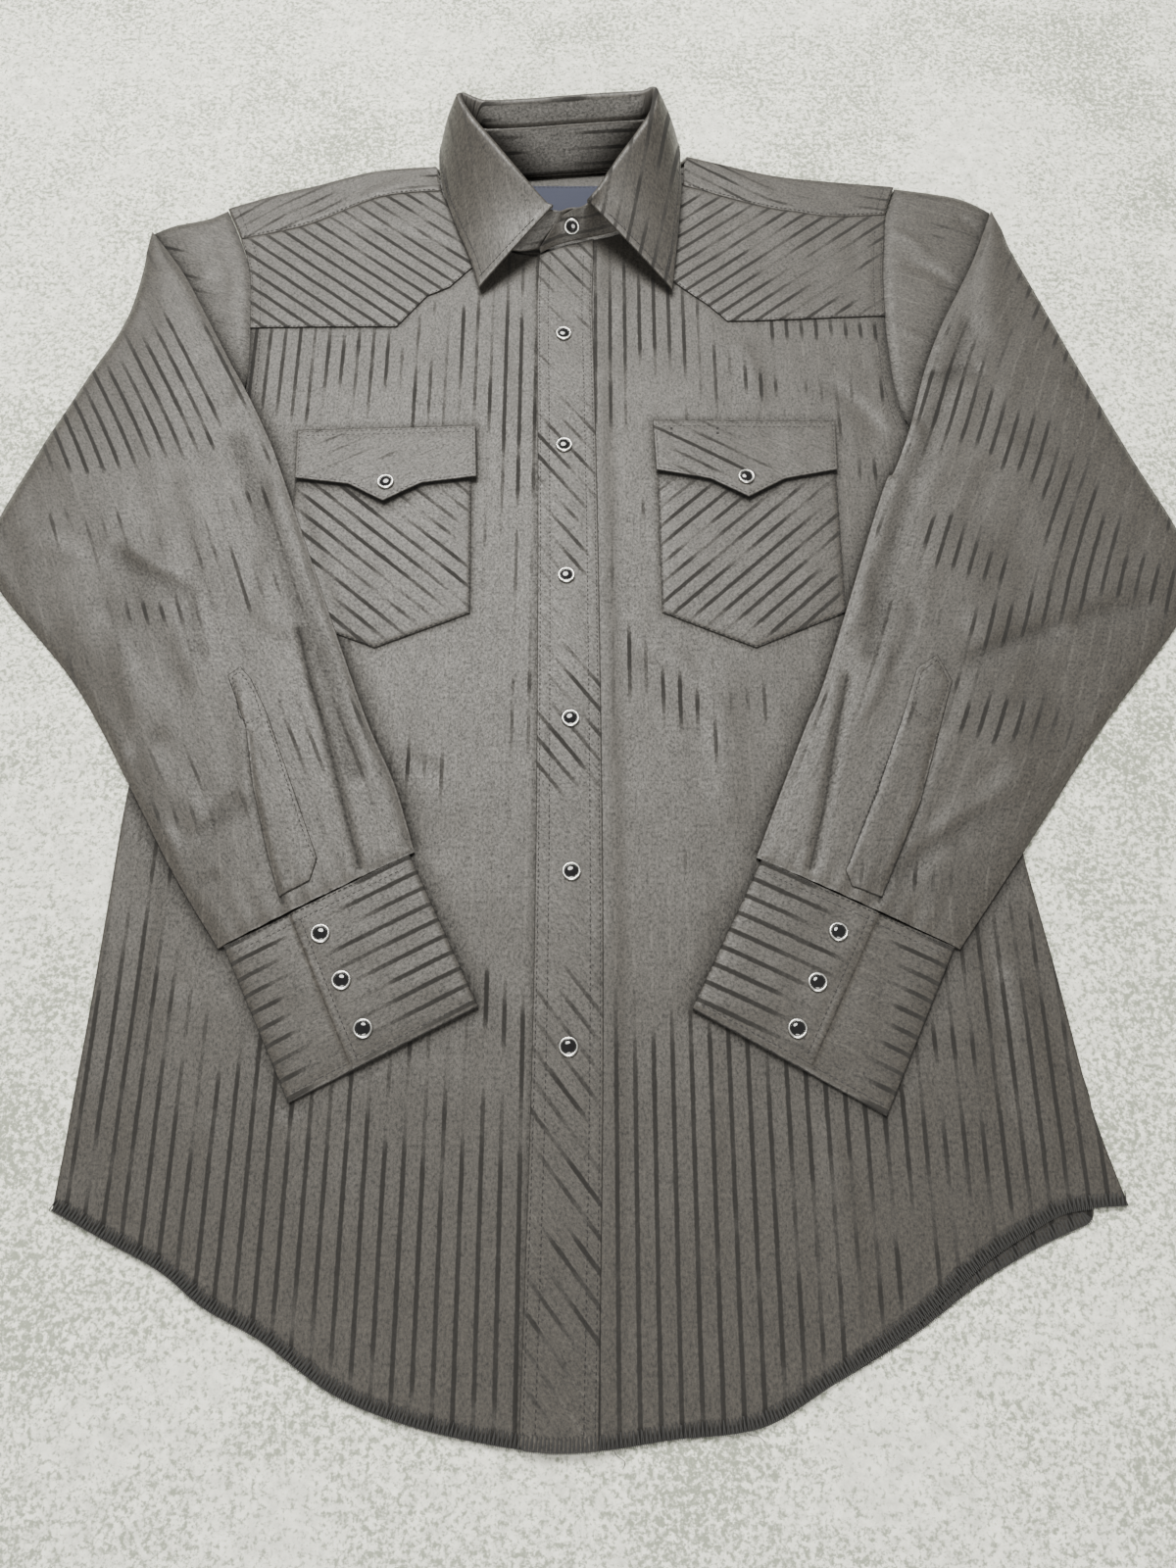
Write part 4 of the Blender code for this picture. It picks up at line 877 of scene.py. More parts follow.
# ==== finishes
class Finish:
    """Builds a finish out of shader nodes."""

    def __init__(self, name):
        self.made = bpy.data.materials.new(name)
        self.made.use_nodes = True
        self.tree = self.made.node_tree
        self.shader = self.tree.nodes["Principled BSDF"]

    def join(self, value, socket):
        if isinstance(value, bpy.types.NodeSocket):
            self.tree.links.new(value, socket)
        else:
            socket.default_value = value

    def set(self, **values):
        """Shader inputs by name, with _ for a space."""
        for name, value in values.items():
            self.join(value, self.shader.inputs[name.replace("_", " ")])

    def math(self, operation, *terms):
        node = self.tree.nodes.new("ShaderNodeMath")
        node.operation = operation
        for term, socket in zip(terms, node.inputs):
            self.join(term, socket)
        return node.outputs[0]

    def plus(self, first, *terms):
        for term in terms:
            first = self.math("ADD", first, term)
        return first

    def times(self, a, b):
        return self.math("MULTIPLY", a, b)

    def swing(self, noise, amount):
        """A noise that goes to both sides of 0."""
        return self.times(self.plus(noise, -0.5), amount)

    def step(self, value, low, high):
        """0 below low, 1 above high, soft between them."""
        node = self.tree.nodes.new("ShaderNodeMapRange")
        node.interpolation_type = "SMOOTHSTEP"
        self.join(value, node.inputs["Value"])
        self.join(low, node.inputs["From Min"])
        self.join(high, node.inputs["From Max"])
        return node.outputs["Result"]

    def place(self, x, y, z=0.0):
        node = self.tree.nodes.new("ShaderNodeCombineXYZ")
        for value, socket in zip((x, y, z), node.inputs):
            self.join(value, socket)
        return node.outputs[0]

    def noise(self, where, scale, detail=2.0, rough=0.5):
        node = self.tree.nodes.new("ShaderNodeTexNoise")
        self.join(where, node.inputs["Vector"])
        node.inputs["Scale"].default_value = scale
        node.inputs["Detail"].default_value = detail
        node.inputs["Roughness"].default_value = rough
        return node.outputs["Fac"]

    def mix(self, share, one, two):
        node = self.tree.nodes.new("ShaderNodeMix")
        node.data_type = "RGBA"
        self.join(share, node.inputs["Factor"])
        self.join(one, node.inputs[6])
        self.join(two, node.inputs[7])
        return node.outputs[2]

    def shade(self, colour, amount):
        """A colour made lighter or darker by a factor."""
        node = self.tree.nodes.new("ShaderNodeVectorMath")
        node.operation = "SCALE"
        self.join(colour if isinstance(colour, bpy.types.NodeSocket) else colour[:3], node.inputs[0])
        self.join(amount, node.inputs["Scale"])
        return node.outputs[0]

    def cloth_map(self):
        """Across and along the stripes, in metres."""
        node = self.tree.nodes.new("ShaderNodeUVMap")
        node.uv_map = "Cloth"
        parts = self.tree.nodes.new("ShaderNodeSeparateXYZ")
        self.tree.links.new(node.outputs[0], parts.inputs[0])
        return parts.outputs[0], parts.outputs[1]

    def attribute(self, title):
        node = self.tree.nodes.new("ShaderNodeAttribute")
        node.attribute_name = title
        return node.outputs["Fac"]

    def position(self):
        return self.tree.nodes.new("ShaderNodeTexCoord").outputs["Object"]

    def bump(self, height, distance):
        node = self.tree.nodes.new("ShaderNodeBump")
        node.inputs["Distance"].default_value = distance
        self.join(height, node.inputs["Height"])
        self.tree.links.new(node.outputs[0], self.shader.inputs["Normal"])


def colour_of(value):
    return (*value, 1.0)


def made_once(name):
    """Marks a function that makes the finish of that name. A second call gives the same finish."""
    return lambda make: lambda *sizes: bpy.data.materials.get(name) or make(*sizes)


@made_once("striped_cloth")
def striped_cloth():
    """A near-black heather that shines, with duller stripes; where they catch the light is painted in by
    place.
    """
    sizes = bpy.context.scene.shirt_cloth
    made = Finish("striped_cloth")
    across, along_it = made.cloth_map()
    count = made.math("DIVIDE", across, sizes.stripe_pitch)
    number = made.math("FLOOR", count)
    off = made.math("ABSOLUTE", made.plus(made.math("FRACT", count), -0.5))
    half = sizes.stripe_width / sizes.stripe_pitch / 2
    yarn = made.noise(made.place(made.times(across, 1.3), made.times(along_it, 0.85)), 560.0, 3.0, 0.85)
    weave = made.times(made.math("SINE", made.times(made.plus(across, along_it), 9000.0)),
                       made.math("SINE", made.times(made.plus(across, made.times(along_it, -1.0)), 9000.0)))
    slub = made.noise(made.place(across, made.times(along_it, 0.35)), 260.0, 3.0, 0.65)
    tone = made.noise(made.place(across, made.times(along_it, 0.5), 4.0), 26.0, 3.0, 0.6)
    patch = made.noise(made.place(made.times(number, 0.0035), along_it, 0.3), 16.0, 2.0, 0.55)
    ragged = made.noise(made.place(made.times(number, 3.7), along_it, 1.9), 34.0, 1.0)
    # Painted light on the stripes: the shine attribute says by place how dark they show.
    level = made.plus(made.swing(patch, 1.5), made.swing(ragged, 1.1), made.attribute("Shine"))
    shown = made.plus(0.09, made.times(made.step(level, -0.14, 0.4), 0.91))
    wide = made.plus(half * 0.6, made.times(shown, half * 0.36))
    edge = made.plus(off, made.swing(slub, 0.07), made.times(wide, -1.0))
    dark = made.times(made.step(edge, 0.04, -0.04), shown)
    dark = made.times(dark, made.plus(0.78, made.times(ragged, 0.5)))
    # A lighter painted sheen along the stripes' middles where they show least.
    light = made.times(made.step(off, 0.11, 0.03), made.step(level, 0.0, -0.25))
    light = made.times(light, made.step(made.plus(yarn, made.times(slub, 0.6)), 0.66, 0.86))
    mottle = made.plus(
        made.swing(yarn, sizes.heather * 7.5), made.swing(slub, sizes.heather * 1.6), made.swing(tone, 0.35))
    ground = made.shade(colour_of(sizes.ground_colour), made.math("MAXIMUM", made.plus(1.0, mottle), 0.15))
    sheened = made.mix(made.times(light, 0.28), ground, colour_of(sizes.stripe_sheen_colour))
    striped = made.mix(dark, sheened, colour_of(sizes.stripe_colour))
    # The attribute holds rubbing above 0 and painted shade below 0: the painted shade darkens the colour and
    # dulls the shine.
    wear_and_shade_attr = made.attribute("Worn")
    shade_amount = made.math("MINIMUM", made.math("MAXIMUM", made.times(wear_and_shade_attr, -1.0), 0.0), 1.0)
    wear_and_shade = made.mix(made.times(made.math("MAXIMUM", wear_and_shade_attr, 0.0), WEARS), striped, colour_of(sizes.worn_colour))
    duller = made.plus(made.times(dark, 0.42), made.times(shade_amount, 0.5))
    rough = made.plus(sizes.ground_roughness, made.times(mottle, -0.17), duller)
    made.set(Base_Color=made.shade(wear_and_shade, made.plus(1.0, made.times(shade_amount, -0.85))), Roughness=rough)
    made.set(Sheen_Weight=0.05, Sheen_Roughness=0.45, Specular_IOR_Level=0.5)
    made.bump(made.plus(yarn, made.times(slub, 0.25), made.times(weave, 0.15)), 0.00008)
    return made.made


def plain_finish(name, colour, rough, scale):
    """A dull finish with a fine grain."""
    if name in bpy.data.materials:
        return bpy.data.materials[name]
    made = Finish(name)
    speck = made.noise(made.position(), scale, 3.0, 0.6)
    made.set(Base_Color=made.shade(colour_of(colour), made.plus(0.75, made.times(speck, 0.5))))
    made.set(Roughness=made.plus(rough - 0.08, made.times(speck, 0.16)))
    made.bump(speck, 0.0001)
    return made.made


def thread_finish(sizes):
    return plain_finish("sewing_thread", sizes.thread_colour, 0.6, 2500.0)


@made_once("label_ribbon")
def label_finish():
    """Woven satin ribbon without any words."""
    made = Finish("label_ribbon")
    across, along_it = made.cloth_map()
    rib = made.math("SINE", made.times(along_it, 9000.0))
    speck = made.noise(made.place(across, along_it), 1400.0, 2.0)
    made.set(Base_Color=made.shade(colour_of(LABEL_COLOUR), made.plus(0.75, made.times(speck, 0.5))))
    made.set(Roughness=made.plus(0.45, made.times(speck, 0.2)), Sheen_Weight=0.2)
    made.bump(made.plus(rib, speck), 0.00008)
    return made.made


@made_once("snap_metal")
def ring_finish(sizes):
    made = Finish("snap_metal")
    dulled = made.noise(made.position(), 700.0, 3.0, 0.6)
    made.set(Base_Color=made.shade(colour_of(sizes.ring_colour), made.plus(0.9, made.times(dulled, 0.2))))
    made.set(Metallic=1.0, Roughness=made.plus(0.24, made.times(dulled, 0.12)))
    made.bump(dulled, 0.000008)
    return made.made


@made_once("snap_pearl")
def cap_finish(sizes):
    made = Finish("snap_pearl")
    cloud = made.noise(made.position(), 260.0, 2.0, 0.5)
    made.set(Base_Color=made.shade(colour_of(sizes.cap_colour), made.plus(0.6, made.times(cloud, 0.8))))
    made.set(Roughness=made.plus(0.05, made.times(cloud, 0.06)), Coat_Weight=0.6, Coat_Roughness=0.04)
    return made.made


# ==== body heights and stripes
def sleeves():
    """Both sleeves' edges, worked out once."""
    if not SLEEVES:
        SLEEVES.update({side: Sleeve(side) for side in ("right", "left")})
    return SLEEVES


def beside_pieces(places):
    """How much shade is painted on a front close beside the pieces that lie on it; a band along its hem is
    darkened the same way.
    """
    found = np.zeros(len(places))
    for sleeve in sleeves().values():
        for loop, depth in ((sleeve.coarse, 0.85), (np.array(sleeve.cuff, float), 0.6)):
            found = np.maximum(found, depth * np.exp(-beyond(places, loop) / 4.5))
    for loop, wide in ((POCKET_RIGHT, 1.5), (POCKET_LEFT, 1.5), (FLAP_RIGHT, 2.5), (FLAP_LEFT, 2.5)):
        found = np.maximum(found, 0.5 * np.exp(-beyond(places, np.array(loop, float)) / wide))
    for line in (YOKE_EDGE_RIGHT, YOKE_EDGE_LEFT, FRONT_EDGE):
        found = np.maximum(found, 0.5 * np.exp(-reach(places, line) / 1.3))
    return np.maximum(found, 0.95 * (1 - ease((reach(places, smooth_edge(HEM)) - 4.5) / 2.5)))


def open_to_sight(places):
    """1 where the front lies free, 0 under sleeves and cuffs and at the collar's seam."""
    found = np.ones(len(places))
    for sleeve in sleeves().values():
        for loop in (sleeve.coarse, np.array(sleeve.cuff, float)):
            found = np.minimum(found, ease((beyond(places, loop) - 1.5) / 9))
    for neck in (NECK_RIGHT, NECK_LEFT):
        found = np.minimum(found, 0.15 + 0.85 * ease((reach(places, neck) - 2) / 12))
    return found


def body_relief(places):
    """What the fronts' soft folds, pressed lines and waves add."""
    strength = bpy.context.scene.shirt_folds
    fine = creases(places, BODY_CREASES) * strength.crease_height
    fine += (swell(places, 55.0, 3.1) + 1) * 0.22 * strength.wave_height
    fine += (swell(places * [1.0, 0.28], 17.0, 8.4) + 1) * 0.14 * strength.wave_height
    for line in BODY_SEAMS:
        fine += pucker(places, line)
    return ridges(places, FRONT_FOLDS) * 0.6 + fine * open_to_sight(places)


def front_low(places):
    """Underside of the right front."""
    return LAYER + body_relief(places)


def front_left_low(places):
    """The left front climbs onto the edge of the right one under the placket."""
    past = places[:, 0] - x_on(FRONT_EDGE, places[:, 1]) - PLACKET_WIDTH - OVER_EDGE
    return front_low(places) + LAYER * (1 - ease(past / RAMP))


def on(low, layers=1):
    """Underside of what lies on a cloth, some layers up."""
    return lambda places: low(places) + layers * LAYER


def shine_at(places, zones, base=0.0):
    """How much more or less the stripes show, painted by place for how they catch the light."""
    found = np.full(len(places), base)
    for *line, width, amount in zones:
        found += amount * fade(places, np.reshape(line, (-1, 2)), width)
    return found


def striped(angle, zones=(), base=0.0):
    """Cloth map of straight stripes that lean by an angle from straight up, clockwise."""
    turn = math.radians(angle)
    across = np.array([math.cos(turn), -math.sin(turn)])
    up = np.array([math.sin(turn), math.cos(turn)])

    def look(places):
        return np.column_stack([places @ across, places @ up]), shine_at(places, zones, base)
    return look


# ==== sleeves
class Sleeve:
    """A sleeve that leaves its armhole outwards and is folded over, so that its back lies on the front."""

    def __init__(self, side):
        self.side = side
        right = side == "right"
        own = lambda right_one, left_one: right_one if right else left_one
        self.out = own(-1, 1)
        self.cuff = own(CUFF_RIGHT, CUFF_LEFT)
        self.lap = own(CUFF_LAP_RIGHT, CUFF_LAP_LEFT)
        self.tower = own(TOWER_RIGHT, TOWER_LEFT)
        self.folds = own(SLEEVE_FOLDS_RIGHT, SLEEVE_FOLDS_LEFT)
        self.creases = own(SLEEVE_CREASES_RIGHT, SLEEVE_CREASES_LEFT)
        self.head_creases = own(HEAD_CREASES_RIGHT, HEAD_CREASES_LEFT)
        self.zones = own(SLEEVE_SHINE_RIGHT, SLEEVE_SHINE_LEFT)
        self.head_zones = own(HEAD_SHINE_RIGHT, HEAD_SHINE_LEFT)
        self.pleat = smooth_edge(own(PLEAT_RIGHT, PLEAT_LEFT), 2.0)
        self.slit = smooth_edge(own(SLIT_RIGHT, SLIT_LEFT), 2.0)
        self.valley = smooth_edge(own(VALLEY_RIGHT, VALLEY_LEFT))
        self.box = own(BOX_RIGHT, BOX_LEFT)
        self.box_seam = smooth_edge(own(BOX_SEAM_RIGHT, BOX_SEAM_LEFT))
        self.pocket = np.array(own(POCKET_RIGHT, POCKET_LEFT), float)
        self.elbow = own(ELBOW_RIGHT, ELBOW_LEFT)
        self.armpit = own(ARMPIT_RIGHT, ARMPIT_LEFT)
        self.wrist = np.array([self.cuff[0], self.cuff[1] if right else self.cuff[-1]], float)
        self.hand = np.array([self.cuff[3], self.cuff[2]] if right else [self.cuff[1], self.cuff[2]], float)
        ease_out = self.wrist[1] - self.wrist[0]
        ease_out *= CUFF_EASE / np.linalg.norm(ease_out)
        inner_end, outer_end = tuple(self.wrist[0] - ease_out), tuple(self.wrist[1] + ease_out)
        self.inner = smooth_edge(own(SLEEVE_INNER_RIGHT, SLEEVE_INNER_LEFT) + [inner_end])
        self.outer = smooth_edge(own(SLEEVE_OUTER_RIGHT, SLEEVE_OUTER_LEFT) + [outer_end])
        self.top = smooth_edge(own(SLEEVE_TOP_RIGHT, SLEEVE_TOP_LEFT))
        armhole = smooth_edge(own(ARMHOLE_RIGHT, ARMHOLE_LEFT))
        crossing = own(CROSSING_RIGHT, CROSSING_LEFT)
        self.armhole = above(armhole, crossing[1])
        self.fold = above(self.inner, crossing[1])
        self.free = below(self.inner, crossing[1])
        side_edge = smooth_edge(own(SIDE_RIGHT, SIDE_LEFT))
        body_edge = np.vstack([below(armhole, crossing[1]), side_edge[1:]])
        self.body = outline(body_edge, [(0, side_edge[-1][1]), (0, crossing[1])])
        self.folded = outline(self.inner, self.outer[::-1])
        self.loop = outline(self.armhole, self.free, self.outer[::-1], self.top)
        self.coarse = self.loop[::3]

    def on_pocket(self, places):
        """How much the pocket under the sleeve lifts it."""
        return LAYER * (1 - ease((beyond(places, self.pocket) - POCKET_CLEAR) / RAMP))

    def low(self, places):
        """On the table outside the body, and on the front inside it."""
        over = 2 * LAYER + self.on_pocket(places)
        return over * (1 - ease((beyond(places, self.body) - OVER_EDGE) / RAMP))

    def under_high(self, places):
        """Top of the two cloths between the armhole and the fold."""
        seam = reach(places, self.armhole)
        fine = creases(places, self.head_creases) + swell(places, 30.0, 6.6) * 0.15
        fine += pucker(places, self.armhole, 0.16, 9.0, 6.0)
        fallen = 1 - np.exp(-reach(places, self.fold) / 14)
        single = 2 * LAYER - GAP + SLEEVE_HEAD * (1 - np.exp(-seam / SLEEVE_HEAD_REACH / 2)) * fallen * 1.4
        return np.maximum(single + fine * ease(seam / 5), self.low(places) + LAYER)

    def over_low(self, places):
        """Underside of what is folded over: on those two cloths, and past them on the front or the table."""
        hidden = self.under_high(places) + 0.15
        share = 1 - ease((reach(places, self.fold) - UNDER_REACH - 1) / UNDER_REACH)
        low = self.low(places)
        raised = low + (np.maximum(hidden, low) - low) * share
        return np.where(within(places, self.folded) | (share > 0.999), raised, low)

    def high(self, places):
        """Top of what is folded over: four cloths with air between them."""
        strength = bpy.context.scene.shirt_folds
        edge = np.minimum(reach(places, self.inner), reach(places, self.outer))
        pillow = SLEEVE_PILLOW * (1 - np.exp(-edge / SLEEVE_PILLOW_REACH))
        under = y_on([self.elbow, self.armpit], places[:, 0]) - places[:, 1]
        sag = SLEEVE_SAG * ease(under / SAG_REACH) * ease(beyond(places, self.body) / SAG_REACH)
        fine = creases(places, self.creases) * strength.crease_height
        drawn = self.look(places)[0]
        fine += swell(drawn * [1.0, 0.3], 70.0, 5.3 * self.out + 9) * 0.3 * strength.wave_height
        fine += swell(drawn * [1.0, 0.13], 16.0, 7.9) * 0.26 * strength.wave_height
        fine += groove(places, [self.valley], 1.1, 6.0)
        fine += groove(places, [self.pleat], 1.3, 1.9) + groove(places, [self.slit], 0.8, 1.5)
        fine += pucker(places, self.wrist, 0.5, 11.0, 14.0)
        height = 4 * LAYER - GAP + pillow + self.on_pocket(places) - sag
        height += ridges(places, self.folds) * 0.5 + fine * ease(edge / 8)
        height += 1.9 * fade(places, self.wrist, FOLDED_EDGE[0])
        return np.maximum(height, self.over_low(places) + 2 * LAYER - GAP)

    def painted_shade(self, places):
        """Where the sleeve is folded in on itself and gets little light."""
        found = -0.2 * np.minimum(creases(places, [row for row in self.creases if row[-1] < 0]), 0)
        found += 0.75 * fade(places, self.pleat, 1.5)
        found += 0.8 * fade(places, self.slit, 1.5)
        return found + 0.3 * fade(places, self.valley, 7)

    def look(self, places):
        """Stripes that follow the sleeve's inner fold."""
        x, y = places[:, 0], places[:, 1]
        steps = np.arange(SPINE_LOW, SPINE_HIGH, SPINE_STEP)
        spine = x_on(self.inner, np.clip(steps, self.inner[:, 1].min(), self.inner[:, 1].max()))
        even = np.full(SPINE_EVEN, 1 / SPINE_EVEN)
        spine = np.convolve(np.pad(spine, SPINE_EVEN, "edge"), even, "same")[SPINE_EVEN:-SPINE_EVEN]
        lean = np.convolve(np.pad(np.gradient(spine, SPINE_STEP), SPINE_EVEN, "edge"), even, "same")
        slope = np.interp(y, steps, lean[SPINE_EVEN:-SPINE_EVEN])
        across = (x - np.interp(y, steps, spine)) / np.sqrt(1 + slope ** 2)
        return np.column_stack([across, y * 1.05]), shine_at(places, self.zones, -0.24)

    def make(self, finish):
        at_wrist = lambda ring: reach(ring, self.wrist) < 4
        pressed = [offset_line(line, d) for line in (self.pleat, self.slit) for d in (-1.6, 0.0, 1.6)]
        # Painted shade in the sleeve's creases, pleat, slit and valley, where it folds in on itself.
        over = cut(self.folded, self.over_low, self.high, self.look, 3.0, pressed, open_at=at_wrist,
                   rounding=FOLDED_EDGE, painted_shade=self.painted_shade, rimmed=0.0)
        wide = np.abs(x_on(self.outer, self.fold[:, 1]) - self.fold[:, 0])
        behind = np.minimum(UNDER_REACH, wide * 0.35) * self.out
        hidden = self.fold + np.column_stack([behind, np.zeros(len(wide))])
        loop = outline(self.armhole, hidden[::-1][1:-1], self.top)
        at_seam = lambda ring: (reach(ring, self.armhole) < 4) | (reach(ring, hidden) < 2)
        # Painted shade on the sleeve's head along its fold and its armhole seam.
        shaded = lambda p: 0.9 * np.exp(-reach(p, self.fold) / 5) + 0.5 * np.exp(-reach(p, self.armhole) / 2)
        under = cut(loop, self.low, self.under_high, self.head_look, 2.6, open_at=at_seam,
                    rounding=FOLDED_EDGE, painted_shade=shaded, rimmed=0.0)
        return cut_piece(f"shirt_sleeve_{self.side}", finish, over, under)

    def head_look(self, places):
        """Stripes of the sleeve's head run down from the shoulder, round the armhole."""
        x, y = places[:, 0], places[:, 1]
        edge = x_on(self.armhole, np.clip(y, self.armhole[:, 1].min(), self.armhole[:, 1].max()))
        drawn = np.column_stack([y * 0.93 + (x - edge) * 0.35, x - edge])
        return drawn, shine_at(places, self.head_zones, -0.3)

    def placket_low(self, places):
        return self.high(places) + GAP

    def wrist_place(self, places):
        """Share round the wrist from the outer fold, and share from the sleeve's seam to the hand."""
        start = self.wrist[1]
        axes = np.column_stack([self.wrist[0] - start, self.hand[1] - start])
        return np.linalg.solve(axes, (places - start).T).T

    def cuff_low(self, places):
        return np.full(len(places), 2 * LAYER)

    def cuff_high(self, places):
        """Two layers with a little air, and a step where the end with the snaps laps over the other."""
        loop = np.array(self.cuff, float)
        edge = reach(places, closed(loop))
        lap = np.array(self.lap, float)
        way = (lap[1] - lap[0]) / np.linalg.norm(lap[1] - lap[0])
        past = (places - lap[0]) @ np.array([way[1], -way[0]])
        towards = (self.wrist[0] - lap[0]) @ np.array([way[1], -way[0]])
        past *= math.copysign(1, towards)
        step = CUFF_LAP * ease((past + 0.2) / 0.8)
        wave = swell(places, 26.0, 2.2 * self.out) * 0.25 * ease(edge / 10)
        wave += 0.7 * fade(places, self.wrist, 1.2)
        return 4 * LAYER - GAP + CUFF_PILLOW * (1 - np.exp(-edge / CUFF_PILLOW_REACH)) + step + wave

    def cuff_look(self, places):
        """Stripes run round the wrist; their painted shine makes them show towards the cuff's two folds."""
        share = self.wrist_place(places)
        shine = 0.75 * (np.exp(-(share[:, 0] / 0.17) ** 2) + np.exp(-((1 - share[:, 0]) / 0.28) ** 2)) - 0.16
        return np.column_stack([share[:, 1] * CUFF_DEPTH + 3.0, share[:, 0] * CUFF_WIDTH]), shine


SLEEVES = {}


# ==== pieces
def laid(nodes):
    """Hides the solids that a piece stands for."""
    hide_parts(*nodes)


def threads(name, parts, finish):
    """One piece made of many bits of thread."""
    piece = new_piece(name, *gather(parts), finish)


def sewing(name, rows):
    """All the stitches of one part of the shirt: rows of a line and the height that it lies at."""
    sizes = bpy.context.scene.shirt_sewing
    parts = [stitches(line, height, sizes) for line, height in rows if len(line) > 1]
    threads(name, parts, thread_finish(sizes))


def topped(low, relief=None, thickness=WALL):
    """Height that stitches lie at on a piece."""
    if relief is None:
        return lambda places: low(places) + thickness
    return lambda places: low(places) + thickness + relief(places)


def front_loops():
    """The outlines of the two fronts. They overlap under the placket."""
    edge = smooth_edge(FRONT_EDGE)
    underlap = edge + [PLACKET_WIDTH - OVER_EDGE, 0]
    hem = smooth_edge(HEM)
    right = outline(
        hem[hem[:, 0] < underlap[-1][0] - 1.5],
        underlap[::-1],
        smooth_edge(NECK_RIGHT)[::-1],
        smooth_edge(SHOULDER_RIGHT)[::-1],
        below(smooth_edge(ARMHOLE_RIGHT), SHOULDER_RIGHT[0][1]),
        smooth_edge(SIDE_RIGHT),
    )
    left = outline(
        hem[hem[:, 0] > edge[-1][0] + 1.5],
        smooth_edge(SIDE_LEFT)[::-1],
        below(smooth_edge(ARMHOLE_LEFT), SHOULDER_LEFT[-1][1])[::-1],
        smooth_edge(SHOULDER_LEFT)[::-1],
        smooth_edge(NECK_LEFT)[::-1],
        edge,
    )
    return right, left


def yoke_loop(side):
    """A front yoke: its pointed edge, and the front's neck, shoulder and armhole above it."""
    if side == "right":
        edge = straight_edge(YOKE_EDGE_RIGHT)
        neck = smooth_edge(NECK_RIGHT)[::-1]
        arm = smooth_edge(ARMHOLE_RIGHT)
        arm = arm[(arm[:, 1] <= SHOULDER_RIGHT[0][1]) & (arm[:, 1] >= edge[0][1])]
        return outline(edge, neck[neck[:, 0] < edge[-1][0]], smooth_edge(SHOULDER_RIGHT)[::-1], arm)
    edge = straight_edge(YOKE_EDGE_LEFT)
    neck = smooth_edge(NECK_LEFT)[::-1]
    arm = smooth_edge(ARMHOLE_LEFT)[::-1]
    arm = arm[(arm[:, 1] <= SHOULDER_LEFT[-1][1]) & (arm[:, 1] >= edge[-1][1])]
    return outline(edge, arm, smooth_edge(SHOULDER_LEFT)[::-1], neck[neck[:, 0] > edge[0][0]])


def placket_loop():
    edge = smooth_edge(FRONT_EDGE)
    hem = smooth_edge(HEM)
    hem = hem[(hem[:, 0] > edge[-1][0] + 0.7) & (hem[:, 0] < edge[-1][0] + PLACKET_WIDTH - 0.7)]
    side = edge + [PLACKET_WIDTH, 0]
    side[-1][1] = y_on(HEM, side[-1][0])
    return outline(edge, hem, side[::-1], np.array([NECK_LEFT[0]], float))


def inner_row(line, distance):
    """A row beside a line, to its left, short of its ends."""
    return offset_line(line, distance)[1:-1]


def wavy(places):
    return (swell(places, 30.0, 6.2) + 1) * 0.1


class Shirt_OT_back(bpy.types.Operator):
    """Cuts the back, which lies on the table and shows at the hem"""
    bl_idname = "shirt.back"
    bl_label = "Back"

    def execute(self, context):
        finish = striped_cloth()
        seam = np.array([ARMHOLE_LEFT[4], ARMHOLE_RIGHT[3]], float)
        loop = outline(
            smooth_edge(HEM_BACK),
            smooth_edge(SIDE_LEFT[:-2] + [HEM_BACK[-1]])[::-1],
            below(smooth_edge(ARMHOLE_LEFT), seam[0][1])[::-1],
            straight_edge(seam),
            below(smooth_edge(ARMHOLE_RIGHT), seam[1][1]),
            smooth_edge(SIDE_RIGHT[:-1] + [HEM_BACK[0]]),
        )
        # The back's strip that shows at the hem gets an even painted shade.
        piece = cut_piece("shirt_back", finish, cut(
            loop, lambda p: np.zeros(len(p)), WALL, striped(0, BODY_SHINE, -0.1), 9.0,
            painted_shade=lambda p: np.full(len(p), BACK_SHADE)))
        laid(["back_panel"])
        return {"FINISHED"}


class Shirt_OT_fronts(bpy.types.Operator):
    """Cuts the two fronts and sews their armholes"""
    bl_idname = "shirt.fronts"
    bl_label = "Fronts"

    def execute(self, context):
        finish = striped_cloth()
        rows = []
        right, left = front_loops()
        for side, loop, low, size, area, armhole, yoke_end in (
            ("right", right, front_low, (0.272, 0.755), 0.176, ARMHOLE_RIGHT, YOKE_EDGE_RIGHT[0]),
            ("left", left, front_left_low, (0.302, 0.755), 0.188, ARMHOLE_LEFT, YOKE_EDGE_LEFT[-1]),
        ):
            sewn = armhole_rows(armhole, 482, yoke_end[1] - 2)
            dents = dented(sewn)
            look = striped(0, BODY_SHINE, -0.3)
            # Painted shade on each front beside the pieces that lie on it, and a darker band along its hem.
            piece = cut_piece(f"shirt_front_{side}", finish,
                              cut(loop, low, WALL, look, 3.0, sewn, dents, painted_shade=beside_pieces))
            laid([f"front_{side}"])
            rows += [(row, topped(low, dents)) for row in sewn]
        sewing("thread_armholes", rows)
        return {"FINISHED"}


def armhole_rows(armhole, low_y, high_y):
    """The two rows of stitches that hold an armhole's seam down on the body."""
    edge = smooth_edge(armhole)
    edge = edge[(edge[:, 1] > low_y) & (edge[:, 1] < high_y)]
    middle = np.array([0.0, edge[:, 1].mean()])
    return [beside(edge, middle, distance) for distance in ARMHOLE_ROWS]


